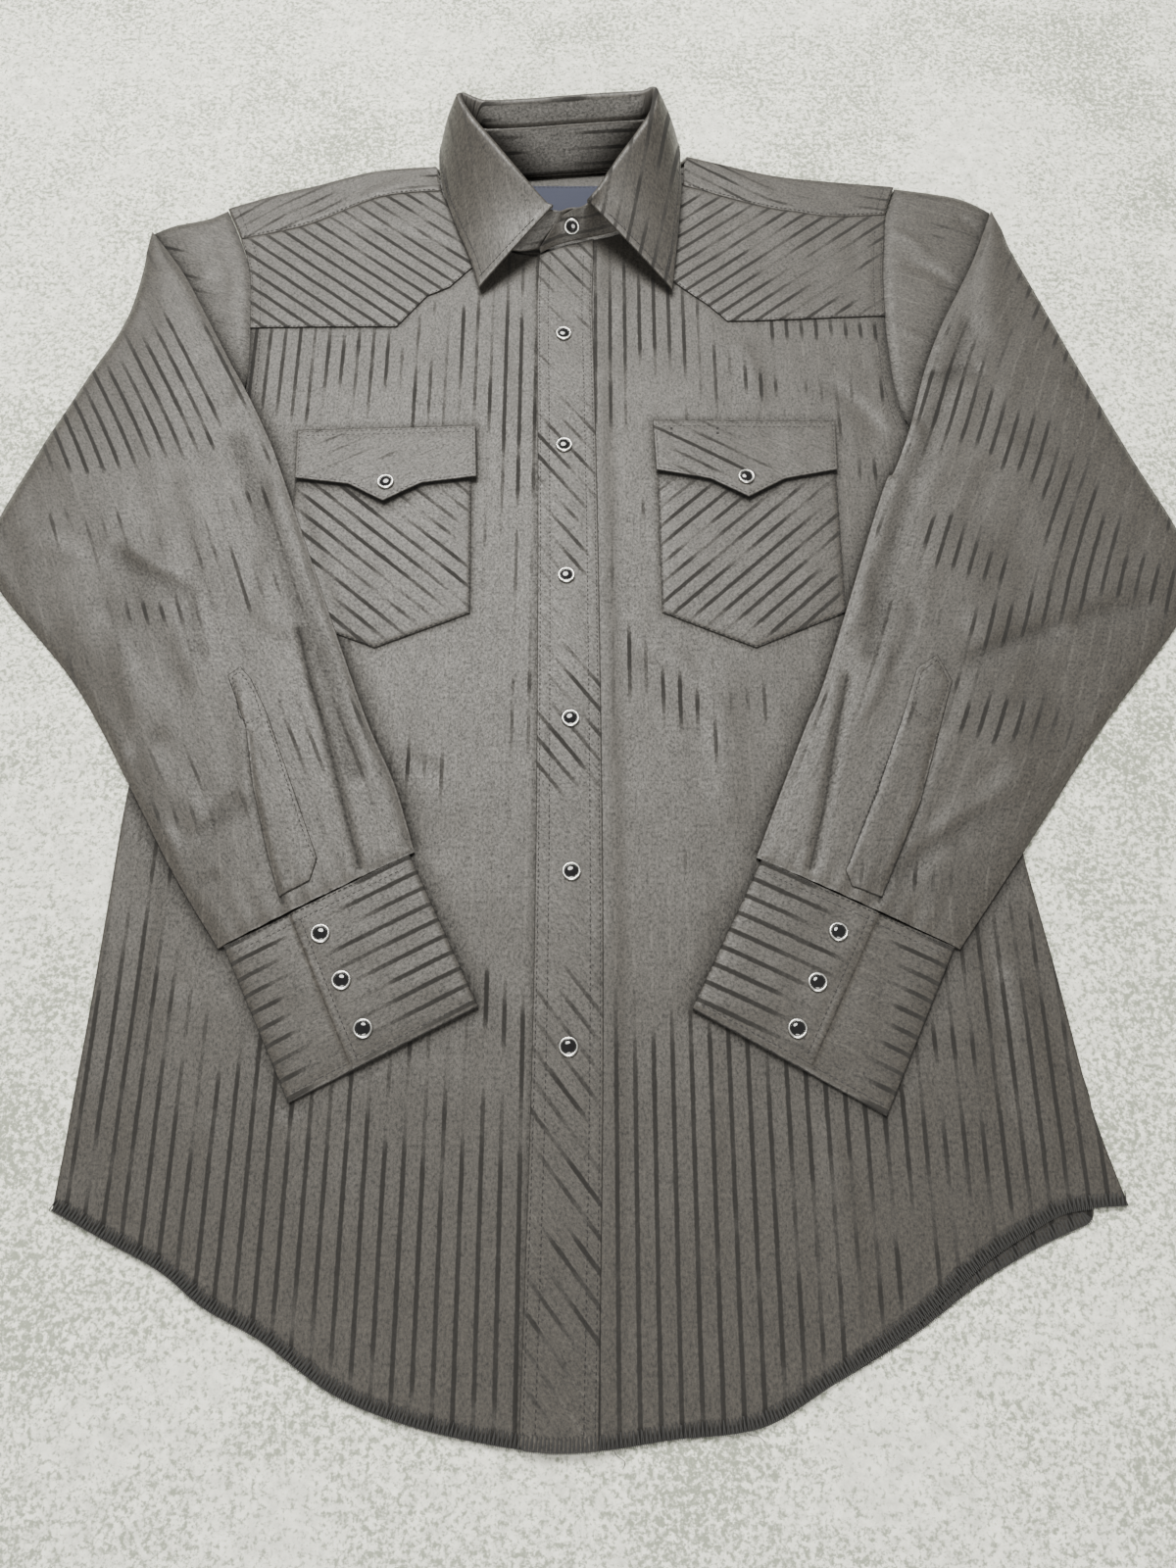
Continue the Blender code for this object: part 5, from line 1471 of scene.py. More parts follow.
class Shirt_OT_front_yokes(bpy.types.Operator):
    """Lays the two pointed front yokes on the fronts and sews them down"""
    bl_idname = "shirt.front_yokes"
    bl_label = "Front yokes"

    def execute(self, context):
        finish = striped_cloth()
        rows = []
        for side, low, edge, end, armhole, look in (
            ("right", front_low, YOKE_EDGE_RIGHT, YOKE_EDGE_RIGHT[0], ARMHOLE_RIGHT,
             striped(-YOKE_LEAN, YOKE_SHINE_RIGHT, 0.24)),
            ("left", front_left_low, YOKE_EDGE_LEFT, YOKE_EDGE_LEFT[-1], ARMHOLE_LEFT,
             striped(YOKE_LEAN, YOKE_SHINE_LEFT, 0.24)),
        ):
            sewn = [inner_row(straight_edge(edge), YOKE_ROW)] + armhole_rows(armhole, end[1] + 2, end[1] + 74)
            dents = dented(sewn)
            piece = cut_piece(f"shirt_front_yoke_{side}", finish,
                              cut(yoke_loop(side), on(low), WALL, look, 2.6, sewn, dents))
            laid([f"front_yoke_{side}"])
            rows += [(row, topped(on(low), dents)) for row in sewn]
        sewing("thread_front_yokes", rows)
        return {"FINISHED"}


class Shirt_OT_placket(bpy.types.Operator):
    """Sews the bias placket along the front edge"""
    bl_idname = "shirt.placket"
    bl_label = "Placket"

    def execute(self, context):
        finish = striped_cloth()
        edge = smooth_edge(FRONT_EDGE)
        edge = edge[(edge[:, 1] < 621) & (edge[:, 1] > -87)]
        sewn = [edge + [d, 0] for d in PLACKET_ROWS]
        dents = dented(sewn)
        low = on(front_left_low)
        look = striped(-38, PLACKET_SHINE, -0.16)
        piece = cut_piece("shirt_placket", finish, cut(placket_loop(), low, WALL, look, 2.6, sewn, dents))
        laid(["placket"])
        sewing("thread_placket", [(row, topped(low, dents)) for row in sewn])
        return {"FINISHED"}


class Shirt_OT_pockets(bpy.types.Operator):
    """Lays the pockets and their pointed flaps on the fronts and sews them"""
    bl_idname = "shirt.pockets"
    bl_label = "Pockets and flaps"

    def execute(self, context):
        finish = striped_cloth()
        rows = []
        for side, low, pocket, flap, lean in (
            ("right", front_low, POCKET_RIGHT, FLAP_RIGHT, -49.0),
            ("left", front_left_low, POCKET_LEFT, FLAP_LEFT, 47.0),
        ):
            zones = POCKET_SHINE_RIGHT if side == "right" else POCKET_SHINE_LEFT
            loop = straight_loop(pocket)
            sewn = [inner_row(straight_edge(pocket), POCKET_ROW)]
            dents = lambda p, sewn=sewn, loop=loop: (
                groove(p, sewn, 0.25) + 0.7 * (1 - np.exp(-reach(p, closed(loop)) / 9)) * open_to_sight(p))
            look = striped(lean, zones, 0.02)
            covered = np.array(flap, float)
            # Painted shadow of the flap on the pocket just under it.
            under_flap = lambda p, covered=covered: 0.9 * np.exp(-beyond(p, covered) / 3.0)
            piece = cut_piece(f"shirt_pocket_{side}", finish,
                              cut(loop, on(low), WALL, look, 2.4, sewn, dents, painted_shade=under_flap))
            laid([f"pocket_{side}"])
            rows += [(row, topped(on(low), dents)) for row in sewn]
            lift = flap_low(flap, low)
            loop = straight_loop(flap)
            ring = closed(inset(loop, 2.0))
            top = straight_edge([flap[0], flap[-1]])
            sewn = [ring, offset_line(top, -5.0)[2:-2]]
            dents = dented(sewn)
            look = striped(-lean * 1.25, FLAP_SHINE, -0.12)
            piece = cut_piece(f"shirt_flap_{side}", finish, cut(loop, lift, WALL, look, 2.0, sewn, dents))
            laid([f"flap_{side}"])
            rows += [(row, topped(lift, dents)) for row in sewn]
            if side == "left":
                for tack in TACKS:
                    bar = straight_edge(tack, 1.0)
                    rows += [(bar + [d, 0], topped(lift)) for d in (-0.5, 0.0, 0.5)]
        sewing("thread_pockets", rows)
        return {"FINISHED"}


def flap_low(flap, low):
    """Underside of a flap, which is sewn down along its top and stands off towards its point."""
    top = max(y for x, y in flap)
    depth = top - min(y for x, y in flap)
    return lambda places: low(places) + 2 * LAYER + FLAP_LIFT * (top - places[:, 1]) / depth


class Shirt_OT_back_yoke(bpy.types.Operator):
    """Turns the back yoke over the shoulders to the front seams"""
    bl_idname = "shirt.back_yoke"
    bl_label = "Back yoke"

    def execute(self, context):
        finish = striped_cloth()
        piece, sewn = back_yoke(finish)
        laid(["back_yoke"])
        sewing("thread_back_yoke", sewn)
        return {"FINISHED"}


def ribbon(name, rows, uv, shine, wall, finish):
    """A closed wall about rows of centre points, half to each side of them, soft along its borders."""
    grid = np.array(rows, float)
    last, across = len(grid) - 1, grid.shape[1]
    normal = unit(np.cross(np.gradient(grid, axis=0), np.gradient(grid, axis=1)))
    half = np.full(grid.shape[:2], wall / 2)
    for margin, share in ((0, 0.7), (1, 0.95)):
        half[:, margin] *= share
        half[:, -1 - margin] *= share
        half[margin] *= share
        half[-1 - margin] *= share
    thick = normal * half[..., None]
    sides = [(grid + thick).reshape(-1, 3), (grid - thick).reshape(-1, 3)]
    far = len(sides[0])
    faces = []
    for i in range(last):
        for j in range(across - 1):
            a, b = i * across + j, (i + 1) * across + j
            faces += [(a, b, b + 1, a + 1), (a + far, a + far + 1, b + far + 1, b + far)]
        for j, order in ((0, 1), (across - 1, -1)):
            a, b = i * across + j, (i + 1) * across + j
            faces.append((a, a + far, b + far, b)[::order])
    for i, order in ((0, 1), (last, -1)):
        for j in range(across - 1):
            a = i * across + j
            faces.append((a, a + 1, a + far + 1, a + far)[::order])
    wear_and_shade = np.zeros(grid.shape[:2])
    wear_and_shade[:, [0, -1]] = 1
    wear_and_shade[[0, -1]] = 1
    uv = np.array(uv, float).reshape(-1, 2)
    shine = np.array(shine, float).reshape(-1)
    piece = new_piece(name, np.vstack(sides), faces, finish, np.vstack([uv, uv]), np.tile(shine, 2),
                      np.tile(wear_and_shade.reshape(-1), 2))
    return piece, grid, normal


def lerp(a, b, share):
    return np.asarray(a, float) + (np.asarray(b, float) - np.asarray(a, float)) * share


def on_shoulder(shoulder, share):
    """A point of a shoulder's seam, by its share of the way across."""
    x = lerp(shoulder[0][0], shoulder[-1][0], share)
    return np.array([x, y_on(smooth_edge(shoulder), x)])


def back_yoke(finish):
    """The lower half lies on the table, turns at the shoulder folds and comes back to the front seams."""
    fold = np.vstack([smooth_edge(FOLD_RIGHT)[:-1], smooth_edge(NECK_BACK)[:-1], smooth_edge(FOLD_LEFT)])
    arms = [smooth_edge(ARMHOLE_RIGHT), smooth_edge(ARMHOLE_LEFT)]
    ends = [np.array(ARMHOLE_RIGHT[3], float), np.array(ARMHOLE_LEFT[4], float)]
    left_neck, right_neck = NECK_BACK[-1], NECK_BACK[0]
    low_z, high_z = WALL / 2, 2 * LAYER + WALL / 2
    radius = (high_z - low_z) / 2
    chords = [[SHOULDER_RIGHT[0], fold[0]], [SHOULDER_LEFT[-1], fold[-1]]]
    rows, uv = [], []
    for x, y in fold:
        share = (x - fold[0][0]) / (fold[-1][0] - fold[0][0])
        turn = np.array([x, y])
        seam = lerp(ends[0], ends[1], share)
        up = unit(turn - seam)
        if x <= right_neck[0]:
            front = on_shoulder(SHOULDER_RIGHT, (x - fold[0][0]) / (right_neck[0] - fold[0][0]))
        elif x >= left_neck[0]:
            front = on_shoulder(SHOULDER_LEFT, (x - left_neck[0]) / (fold[-1][0] - left_neck[0]))
        else:
            front = turn - up * NECK_LIP
        start, finish_at = seam + up * GAP, front + up * GAP
        row = [(*lerp(start, turn - up * radius, part), low_z) for part in YOKE_SHARES]
        for angle in YOKE_TURN:
            reach_up = radius * (math.cos(math.radians(angle)) - 1)
            row.append((*(turn + up * reach_up), low_z + radius * (1 + math.sin(math.radians(angle)))))
        strip = [lerp(turn - up * radius, finish_at, part) for part in YOKE_FRONT_SHARES]
        row += [(*point, high_z) for point in strip]
        placed = []
        for px, py, pz in row:
            if pz == high_z:
                bulge = [x_on(arm, py) - x_on(chord, py) for arm, chord in zip(arms, chords)]
            else:
                bulge = [x_on(arm, py) - x_on([end, edge], py) for arm, end, edge in
                         zip(arms, ends, (fold[0], fold[-1]))]
            bulge = [bulge[0] + YOKE_CLEAR, bulge[1] - YOKE_CLEAR]
            placed.append((px + bulge[0] * (1 - share) ** 8 + bulge[1] * share ** 8, py, pz))
        rows.append(placed)
        uv.append([(run, x) for run in run_of(placed)])
    rows = np.array(rows)
    top = slice(-len(YOKE_FRONT_SHARES), None)
    flat = rows[:, top, :2].reshape(-1, 2)
    sewn = [rows[(fold[:, 0] < right_neck[0]), -2, :2], rows[(fold[:, 0] > left_neck[0]), -2, :2]]
    sewn = [line[1:-1] for line in sewn]
    relief = (creases(flat, YOKE_CREASES) + wavy(flat) + groove(flat, sewn, 0.2)).reshape(len(rows), -1)
    off = np.linalg.norm(rows[:, top, :2] - rows[:, -1:, :2], axis=2)
    relief *= ease(off / 3)
    rows[:, top, 2] += relief
    piece, _, _ = ribbon("shirt_back_yoke", rows, uv, np.full(rows.shape[:2], YOKE_SHINE), WALL, finish)
    for armhole, shoulder, end in ((ARMHOLE_RIGHT, SHOULDER_RIGHT[0], FOLD_RIGHT[0]),
                                   (ARMHOLE_LEFT, SHOULDER_LEFT[-1], FOLD_LEFT[-1])):
        sewn += armhole_rows(armhole, shoulder[1] + 1.5, end[1] - 2.5)
    height = lambda p: np.full(len(p), high_z + WALL / 2 + 0.12)
    return piece, [(line, height) for line in sewn]


class Shirt_OT_sleeves(bpy.types.Operator):
    """Cuts the two sleeves, folded over the front, and their plackets"""
    bl_idname = "shirt.sleeves"
    bl_label = "Sleeves and sleeve plackets"

    def execute(self, context):
        finish = striped_cloth()
        rows = []
        for side, sleeve in sleeves().items():
            piece = sleeve.make(finish)
            laid([f"sleeve_{side}"])
            loop = straight_loop(sleeve.tower)
            box = closed(inset(straight_loop(sleeve.box), 0.9))
            sewn = [box, sleeve.box_seam]
            dents = lambda p, sewn=sewn: groove(p, sewn, 0.35, 0.9)
            piece = cut_piece(f"shirt_sleeve_placket_{side}", finish, cut(
                loop, sleeve.placket_low, WALL, sleeve.look, 2.2, sewn, dents, rounding=TUCKED_EDGE))
            laid([f"sleeve_placket_{side}"])
            rows += [(row, topped(sleeve.placket_low, dents)) for row in sewn]
        sewing("thread_sleeve_plackets", rows)
        return {"FINISHED"}


class Shirt_OT_cuffs(bpy.types.Operator):
    """Folds the two cuffs round the sleeves' ends and sews them"""
    bl_idname = "shirt.cuffs"
    bl_label = "Cuffs"

    def execute(self, context):
        finish = striped_cloth()
        rows = []
        for side, sleeve in sleeves().items():
            loop = straight_loop(sleeve.cuff)
            lap = straight_edge(sleeve.lap)
            wrist = straight_edge(sleeve.wrist)
            hand = straight_edge(sleeve.hand)
            middle = loop.mean(0)
            sewn = [beside(wrist, middle, 1.6), beside(wrist, middle, 6.5), beside(hand, middle, 4.0),
                    beside(lap, sleeve.wrist[0], 4.5)]
            sewn = [line[1:-1] for line in sewn]
            dents = dented(sewn)
            folds = [beside(lap, sleeve.wrist[0], d) for d in (-0.4, 0.0, 0.4, 0.9)]
            at_wrist = lambda ring, wrist=wrist: reach(ring, wrist) < 1.5
            piece = cut_piece(f"shirt_cuff_{side}", finish, cut(
                loop, sleeve.cuff_low, sleeve.cuff_high, sleeve.cuff_look, 2.2, folds + sewn, dents, at_wrist,
                2, (1.2, 0.9, 0.8)))
            laid([f"cuff_{side}"])
            height = lambda p, sleeve=sleeve, dents=dents: sleeve.cuff_high(p) + dents(p)
            rows += [(row, height) for row in sewn]
        sewing("thread_cuffs", rows)
        return {"FINISHED"}


def beside(line, towards, distance):
    """A line moved to the side where a place lies."""
    moved = offset_line(line, distance)
    other = offset_line(line, -distance)
    nearer = np.linalg.norm(moved.mean(0) - towards) < np.linalg.norm(other.mean(0) - towards)
    return moved if nearer == (distance > 0) else other


def collar_station(t):
    """Base and roll of the collar's wall, and the share of it that is stand, at a station."""
    row = catmull_rom(COLLAR_STATIONS, t)
    return row[:3], row[3:6], row[6]


def outwards(t):
    """Directions up the collar's wall and out of it at a station."""
    base, roll, share = collar_station(t)
    up = unit(roll - base)
    return up, unit(np.cross(up, collar_station(t + 0.1)[1] - collar_station(t - 0.1)[1]))


def leaf_edge(t):
    """Point of the leaf's outer edge at a station."""
    numbers = [row[0] for row in LEAF_EDGE]
    i = max(k for k in range(len(numbers) - 1) if numbers[k] <= t + 0.05)
    share = (t - numbers[i]) / (numbers[i + 1] - numbers[i])
    return catmull_rom([row[1:] for row in LEAF_EDGE], i + share)


class Shirt_OT_collar(bpy.types.Operator):
    """Makes the collar: a stand, and a leaf that rolls over it"""
    bl_idname = "shirt.collar"
    bl_label = "Collar"

    def execute(self, context):
        finish = striped_cloth()
        rows, uv = [], []
        run = 0.0
        before = None
        for t in np.arange(0, len(COLLAR_STATIONS) - 1 + 0.05, 0.1):
            base, roll, share = collar_station(min(t, len(COLLAR_STATIONS) - 1))
            run += 0.0 if before is None else np.linalg.norm(base - before)
            before = base
            rows.append([lerp(base, roll, share * part) for part in STAND_FINE])
            height = np.linalg.norm(roll - base) * share
            uv.append([(part * height, run) for part in STAND_FINE])
        shine = np.full((len(rows), len(STAND_FINE)), 0.1)
        piece, _, _ = ribbon("shirt_collar_stand", rows, uv, shine, COLLAR_WALL, finish)
        laid(["collar_stand"])
        piece, stitched = collar_leaf(finish)
        laid(["collar_leaf"])
        sizes = context.scene.shirt_sewing
        parts = [stitches_on(points, normals, sizes) for points, normals in stitched]
        threads("thread_collar", parts, thread_finish(sizes))
        return {"FINISHED"}


def collar_leaf(finish):
    """The leaf starts on the stand's edge, rolls over and falls outside to its points."""
    first, last = LEAF_EDGE[0][0], LEAF_EDGE[-1][0]
    between = np.arange(first + 0.1, last - 0.05, 0.1)
    stations = np.concatenate([[first, first + 0.02], between, [last - 0.02, last]])
    rows, uv, shine = [], [], []
    run, before = 0.0, None
    for t in stations:
        base, roll, share = collar_station(t)
        up, out = outwards(t)
        inwards = ease(min(t - first, last - t) / ROLL_END_REACH)
        corner = max(math.exp(-((t - at) / CORNER_REACH) ** 2) for at in CORNERS)
        radius = ROLL_RADIUS * (ROLL_END_SHARE + (1 - ROLL_END_SHARE) * inwards) * (1 - CORNER_PINCH * corner)
        length = np.linalg.norm(roll - base)
        start = share * length + GAP
        top = max(length - radius - COLLAR_WALL / 2, share * length + LEAF_START)
        row = [base + up * lerp(start, top, part) for part in (0, 0.25, 0.5, 0.75)]
        centre = base + up * top + out * radius
        for angle in LEAF_TURN:
            turn = math.radians(angle)
            row.append(centre - out * radius * math.cos(turn) + up * radius * math.sin(turn))
        fall, edge = row[-1], leaf_edge(t)
        row += [lerp(fall, edge, part) + out * LEAF_BELLY * math.sin(math.pi * part) for part in LEAF_FINE]
        row = np.array(row)
        crest = row[4 + len(LEAF_TURN) // 2]
        run += 0.0 if before is None else np.linalg.norm(crest - before)
        before = crest
        rows.append(row)
        planar = ease(abs(t - LEAF_MIDDLE) - 2)
        lean = LEAF_LEAN * (1 if t > LEAF_MIDDLE else -1)
        flat = row[:, 0] * math.cos(lean) - row[:, 1] * math.sin(lean)
        uv.append([(d * (1 - planar) + f * planar, run) for d, f in zip(run_of(row), flat)])
        # The stripes' painted shine differs between the leaf's two sides and its back.
        outer = 0.34 if t > 13 else -0.2 if t < 8 else 0.1
        shine.append([0.15] * 6 + [outer] * (len(row) - 6))
    piece, grid, normal = ribbon("shirt_collar_leaf", rows, uv, shine, COLLAR_WALL, finish)
    outside = grid + normal * COLLAR_WALL / 2 * (-1 if normal[len(grid) // 2, -3, 2] < 0 else 1)
    row = outside[:, -4]
    ends = [outside[3, -3:4 + len(LEAF_TURN):-1], outside[-4, -3:4 + len(LEAF_TURN):-1]]
    normals = [normal[:, -3], normal[3, -3:4 + len(LEAF_TURN):-1], normal[-4, -3:4 + len(LEAF_TURN):-1]]
    return piece, list(zip([row[3:-3], *ends], [normals[0][3:-3], *normals[1:]]))


def stitches_on(points, normals, size):
    """A row of stitches on a line in space that has the cloth's direction at each point."""
    at = run_of(points)
    pitch = size.stitch_length / MM
    radius = size.thread_width / MM / 2
    count = max(1, int(at[-1] / pitch))
    parts = []
    for k in range(count):
        path = []
        for share, lift in ((0.1, -0.4), (0.3, 0.4), (0.5, 0.55), (0.7, 0.4), (0.9, -0.4)):
            where = (k + share) * at[-1] / count
            centre = np.array([np.interp(where, at, points[:, c]) for c in range(3)])
            out = np.array([np.interp(where, at, normals[:, c]) for c in range(3)])
            if out[2] < 0:
                out = -out
            path.append(centre + out * radius * lift)
        parts.append(tube(path, radius))
    return gather(parts)


class Shirt_OT_label(bpy.types.Operator):
    """Sews the bare label inside the neck"""
    bl_idname = "shirt.label"
    bl_label = "Neck label"

    def execute(self, context):
        loop = straight_loop(LABEL)
        ring = closed(inset(loop, 1.5))
        relief = lambda p: groove(p, [ring], 0.15) + wavy(p)
        low = lambda p: np.full(len(p), LAYER)
        piece = cut_piece("shirt_label", label_finish(), cut(
            loop, low, WALL, striped(0), 2.5, [ring], relief))
        laid(["neck_label"])
        sewing("thread_label", [(ring, topped(low, relief))])
        return {"FINISHED"}


def turned(profile, centre, axis, sides, loops_back):
    """Points and faces of a turned piece: a ring, or a solid that closes on its axis."""
    turn = Vector((0, 0, 1)).rotation_difference(Vector(axis)).to_matrix()
    angle = np.arange(sides) * 2 * math.pi / sides
    points = np.array([(r * math.cos(a), r * math.sin(a), z) for r, z in profile for a in angle])
    points = points @ np.array(turn).T + np.asarray(centre, float)
    rings = [list(range(i * sides, (i + 1) * sides)) for i in range(len(profile))]
    faces = []
    for one, two in zip(rings, rings[1:] + (rings[:1] if loops_back else [])):
        faces += [(one[k], one[(k + 1) % sides], two[(k + 1) % sides], two[k]) for k in range(sides)]
    if not loops_back:
        faces += [tuple(reversed(rings[0])), tuple(rings[-1])]
    return points, faces


def snap_places():
    """Name, centre and direction of each snap."""
    def square_to(high, place):
        place = np.array([place], float)
        step_x, step_y = np.array([[1.0, 0]]), np.array([[0, 1.0]])
        slope = [(high(place + step) - high(place - step))[0] / 2 for step in (step_x, step_y)]
        axis = Vector((-slope[0], -slope[1], 1)).normalized()
        return (*place[0], high(place)[0] + GAP), axis

    found = []
    placket = topped(on(front_left_low))
    for k, place in enumerate(SNAPS_PLACKET):
        found.append((f"placket_{k + 1}", *square_to(placket, place)))
    for side, place, flap, low in (
        ("right", SNAP_FLAP_RIGHT, FLAP_RIGHT, front_low),
        ("left", SNAP_FLAP_LEFT, FLAP_LEFT, front_left_low),
    ):
        found.append((f"flap_{side}", *square_to(topped(flap_low(flap, low)), place)))
    for side, places in (("right", SNAPS_CUFF_RIGHT), ("left", SNAPS_CUFF_LEFT)):
        for k, place in enumerate(places):
            found.append((f"cuff_{side}_{k + 1}", *square_to(sleeves()[side].cuff_high, place)))
    base, roll, share = collar_station(NECK_SNAP_STATION)
    up, out = outwards(NECK_SNAP_STATION)
    centre = lerp(base, roll, NECK_SNAP_SHARE) + out * (COLLAR_WALL / 2 + NECK_SNAP_LIFT)
    found.append(("neck", tuple(centre), Vector(out)))
    return found


class Shirt_OT_snaps(bpy.types.Operator):
    """Sets the pearl snaps: a bright prong ring round a black domed cap"""
    bl_idname = "shirt.snaps"
    bl_label = "Snaps"

    def execute(self, context):
        sizes = context.scene.shirt_snaps
        rings, caps, names = [], [], []
        for name, centre, axis in snap_places():
            names.append(name)
            rings.append(turned(RING_FINE, centre, axis, SNAP_SIDES, True))
            caps.append(turned(CAP_FINE, centre, axis, SNAP_SIDES, False))
        for title, parts, finish, slot, node in (
            ("snap_rings", rings, ring_finish(sizes), "metal", "snap_ring_"),
            ("snap_caps", caps, cap_finish(sizes), "pearl", "snap_cap_"),
        ):
            piece = new_piece(title, *gather(parts), finish)
            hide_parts(*[node + name for name in names])
        return {"FINISHED"}


class Shirt_OT_hem(bpy.types.Operator):
    """Binds the hem with overlocked thread"""
    bl_idname = "shirt.hem"
    bl_label = "Overlocked hem"

    def execute(self, context):
        sizes = context.scene.shirt_sewing
        hem = smooth_edge(HEM, 1.0)
        edge = FRONT_EDGE[-1][0]
        height = lambda p: WALL + np.where(p[:, 0] > edge, front_left_low(p), front_low(p)) + LAYER * (
            (p[:, 0] > edge) & (p[:, 0] < edge + PLACKET_WIDTH))
        back = smooth_edge(HEM_BACK, 1.0)
        back = back[back[:, 0] > BACK_HEM_SEEN]
        parts = [overlock(hem, height, sizes), overlock(back, lambda p: np.full(len(p), WALL), sizes)]
        parts += [tube(smooth_edge(path, 1.0), LOOSE_RADIUS) for path in LOOSE_THREADS]
        threads("thread_hem", parts, plain_finish("overlock_thread", sizes.overlock_colour, 0.7, 2200.0))
        return {"FINISHED"}


def overlock(edge, height, sizes):
    """Thread that goes over a cut edge and back."""
    at = run_of(edge)
    inner = offset_line(edge, 1.0) - edge
    rng = random.Random(4)
    pitch, depth = 2.0, sizes.overlock_width / MM
    shape = np.array([(-0.06, -0.7), (0.0, -0.1), (0.15, 0.25), (0.5, 0.3), (0.85, 0.25), (1.0, 0.0)])
    flat, clear = [], []
    for k in range(int(at[-1] / pitch)):
        for drift, lean in ((0.0, -0.1), (0.5, 0.45)):
            lean = pitch * lean + rng.uniform(-0.25, 0.25)
            deep = depth * rng.uniform(0.88, 1.05)
            where = (k + drift) * pitch + lean * shape[:, 0]
            centre = np.stack([np.interp(where, at, edge[:, c]) for c in (0, 1)], 1)
            way = np.stack([np.interp(where, at, inner[:, c]) for c in (0, 1)], 1)
            flat.append(centre + way * deep * shape[:, :1])
            clear.append(centre + way * np.maximum(shape[:, :1] * deep, 0.5))
    z = height(np.vstack(clear)) + np.tile(shape[:, 1], len(flat))
    paths = np.column_stack([np.vstack(flat), z]).reshape(len(flat), len(shape), 3)
    return gather([tube(path, OVERLOCK_RADIUS) for path in paths])


class Shirt_OT_stage(bpy.types.Operator):
    """Sets the pale floor and the soft light"""
    bl_idname = "shirt.stage"
    bl_label = "Stage"

    def execute(self, context):
        sizes = context.scene.shirt_stage
        made = Finish("pale_floor")
        where = made.position()
        cloud = made.noise(where, 9.0, 4.0, 0.6)
        felt = made.noise(where, 95.0, 5.0, 0.78)
        fibre = made.plus(made.noise(where, 330.0, 4.0, 0.8), made.swing(cloud, 0.4))
        fleck = made.step(fibre, 0.45, 0.60)
        tone = made.plus(0.98, made.plus(made.swing(cloud, 0.5), made.swing(felt, 1.3)))
        pale = made.shade(colour_of(sizes.floor_colour), tone)
        flecked = made.mix(made.times(fleck, 0.95), pale, colour_of(sizes.fleck_colour))
        made.set(Base_Color=flecked, Roughness=0.85, Specular_IOR_Level=0.2)
        made.bump(made.plus(felt, made.times(cloud, 0.5)), 0.0012)
        wide = sizes.floor_width / 2
        mesh = bpy.data.meshes.new("floor")
        across = FLOOR_TILES + 1
        ticks = np.linspace(-wide, wide, across)
        corners = [i * across + j for i in range(FLOOR_TILES) for j in range(FLOOR_TILES)]
        mesh.from_pydata(
            [(x, y, -FLOOR_DROP * MM) for y in ticks for x in ticks], [],
            [(k, k + 1, k + 1 + across, k + across) for k in corners])
        mesh.materials.append(made.made)
        floor = bpy.data.objects.new("floor", mesh)
        context.scene.collection.objects.link(floor)
        for name, place, size, watts in (
            ("key_light", KEY_PLACE, KEY_SIZE, sizes.key_strength),
            ("fill_light", FILL_PLACE, FILL_SIZE, sizes.fill_strength),
        ):
            light = bpy.data.lights.new(name, "AREA")
            light.shape = "DISK"
            light.size = size
            light.energy = watts
            light.color = sizes.light_colour
            lamp = bpy.data.objects.new(name, light)
            lamp.location = place
            lamp.rotation_euler = (-Vector(place)).to_track_quat("-Z", "Y").to_euler()
            context.scene.collection.objects.link(lamp)
        world = bpy.data.worlds.new("studio")
        world.use_nodes = True
        sky = world.node_tree.nodes["Background"].inputs
        sky["Color"].default_value = colour_of(sizes.light_colour)
        sky["Strength"].default_value = sizes.sky_strength
        context.scene.world = world
        return {"FINISHED"}


def make_camera(scene):
    lens = bpy.data.cameras.new("camera")
    lens.sensor_width = SENSOR_WIDTH
    lens.lens = FOCAL_LENGTH
    camera = bpy.data.objects.new("camera", lens)
    camera.location = CAMERA_PLACE
    camera.rotation_euler = (CAMERA_TILT, 0.0, 0.0)
    scene.collection.objects.link(camera)
    scene.camera = camera


# ==== what a user may change
def colour(name, description, *default):
    return FloatVectorProperty(name=name, description=description, subtype="COLOR", size=3, default=default)


def distance(name, description, default):
    return FloatProperty(
        name=name, description=description, subtype="DISTANCE", unit="LENGTH", default=default)


def factor(name, description, default):
    return FloatProperty(name=name, description=description, subtype="FACTOR", default=default)


def power(name, description, default):
    return FloatProperty(name=name, description=description, unit="POWER", default=default)


class ShirtCloth(bpy.types.PropertyGroup):
    """Colours and stripes of the cloth"""
    ground_colour: colour("Ground", "Colour between the stripes", 0.046, 0.042, 0.037)
    stripe_colour: colour("Stripe", "Colour of the satin stripes", 0.015, 0.0138, 0.0125)
    # Painted sheen: the lighter colour laid along a stripe where it is painted as catching the light.
    stripe_sheen_colour: colour("Stripe sheen", "Colour of a stripe that doesn't catch the light", 0.15, 0.14, 0.125)
    worn_colour: colour("Worn edge", "Colour of rubbed edges", 0.085, 0.079, 0.071)
    stripe_pitch: distance("Stripe pitch", "From one stripe to the next", 0.0097)
    stripe_width: distance("Stripe width", "Width of one stripe", 0.0025)
    ground_roughness: factor("Dullness", "How far the ground scatters the light", 0.5)
    heather: factor("Heather", "How far the yarns differ in tone", 0.6)


class ShirtSewing(bpy.types.PropertyGroup):
    """Thread and stitches"""
    stitch_length: distance("Stitch", "From one stitch to the next", 0.0031)
    thread_width: distance("Thread", "Width of the thread", 0.0006)
    thread_colour: colour("Thread colour", "Colour of the stitches", 0.022, 0.021, 0.021)
    overlock_colour: colour("Overlock colour", "Colour of the hem's thread", 0.034, 0.034, 0.034)
    overlock_width: distance("Overlock width", "Width of the overlocked band", 0.0068)


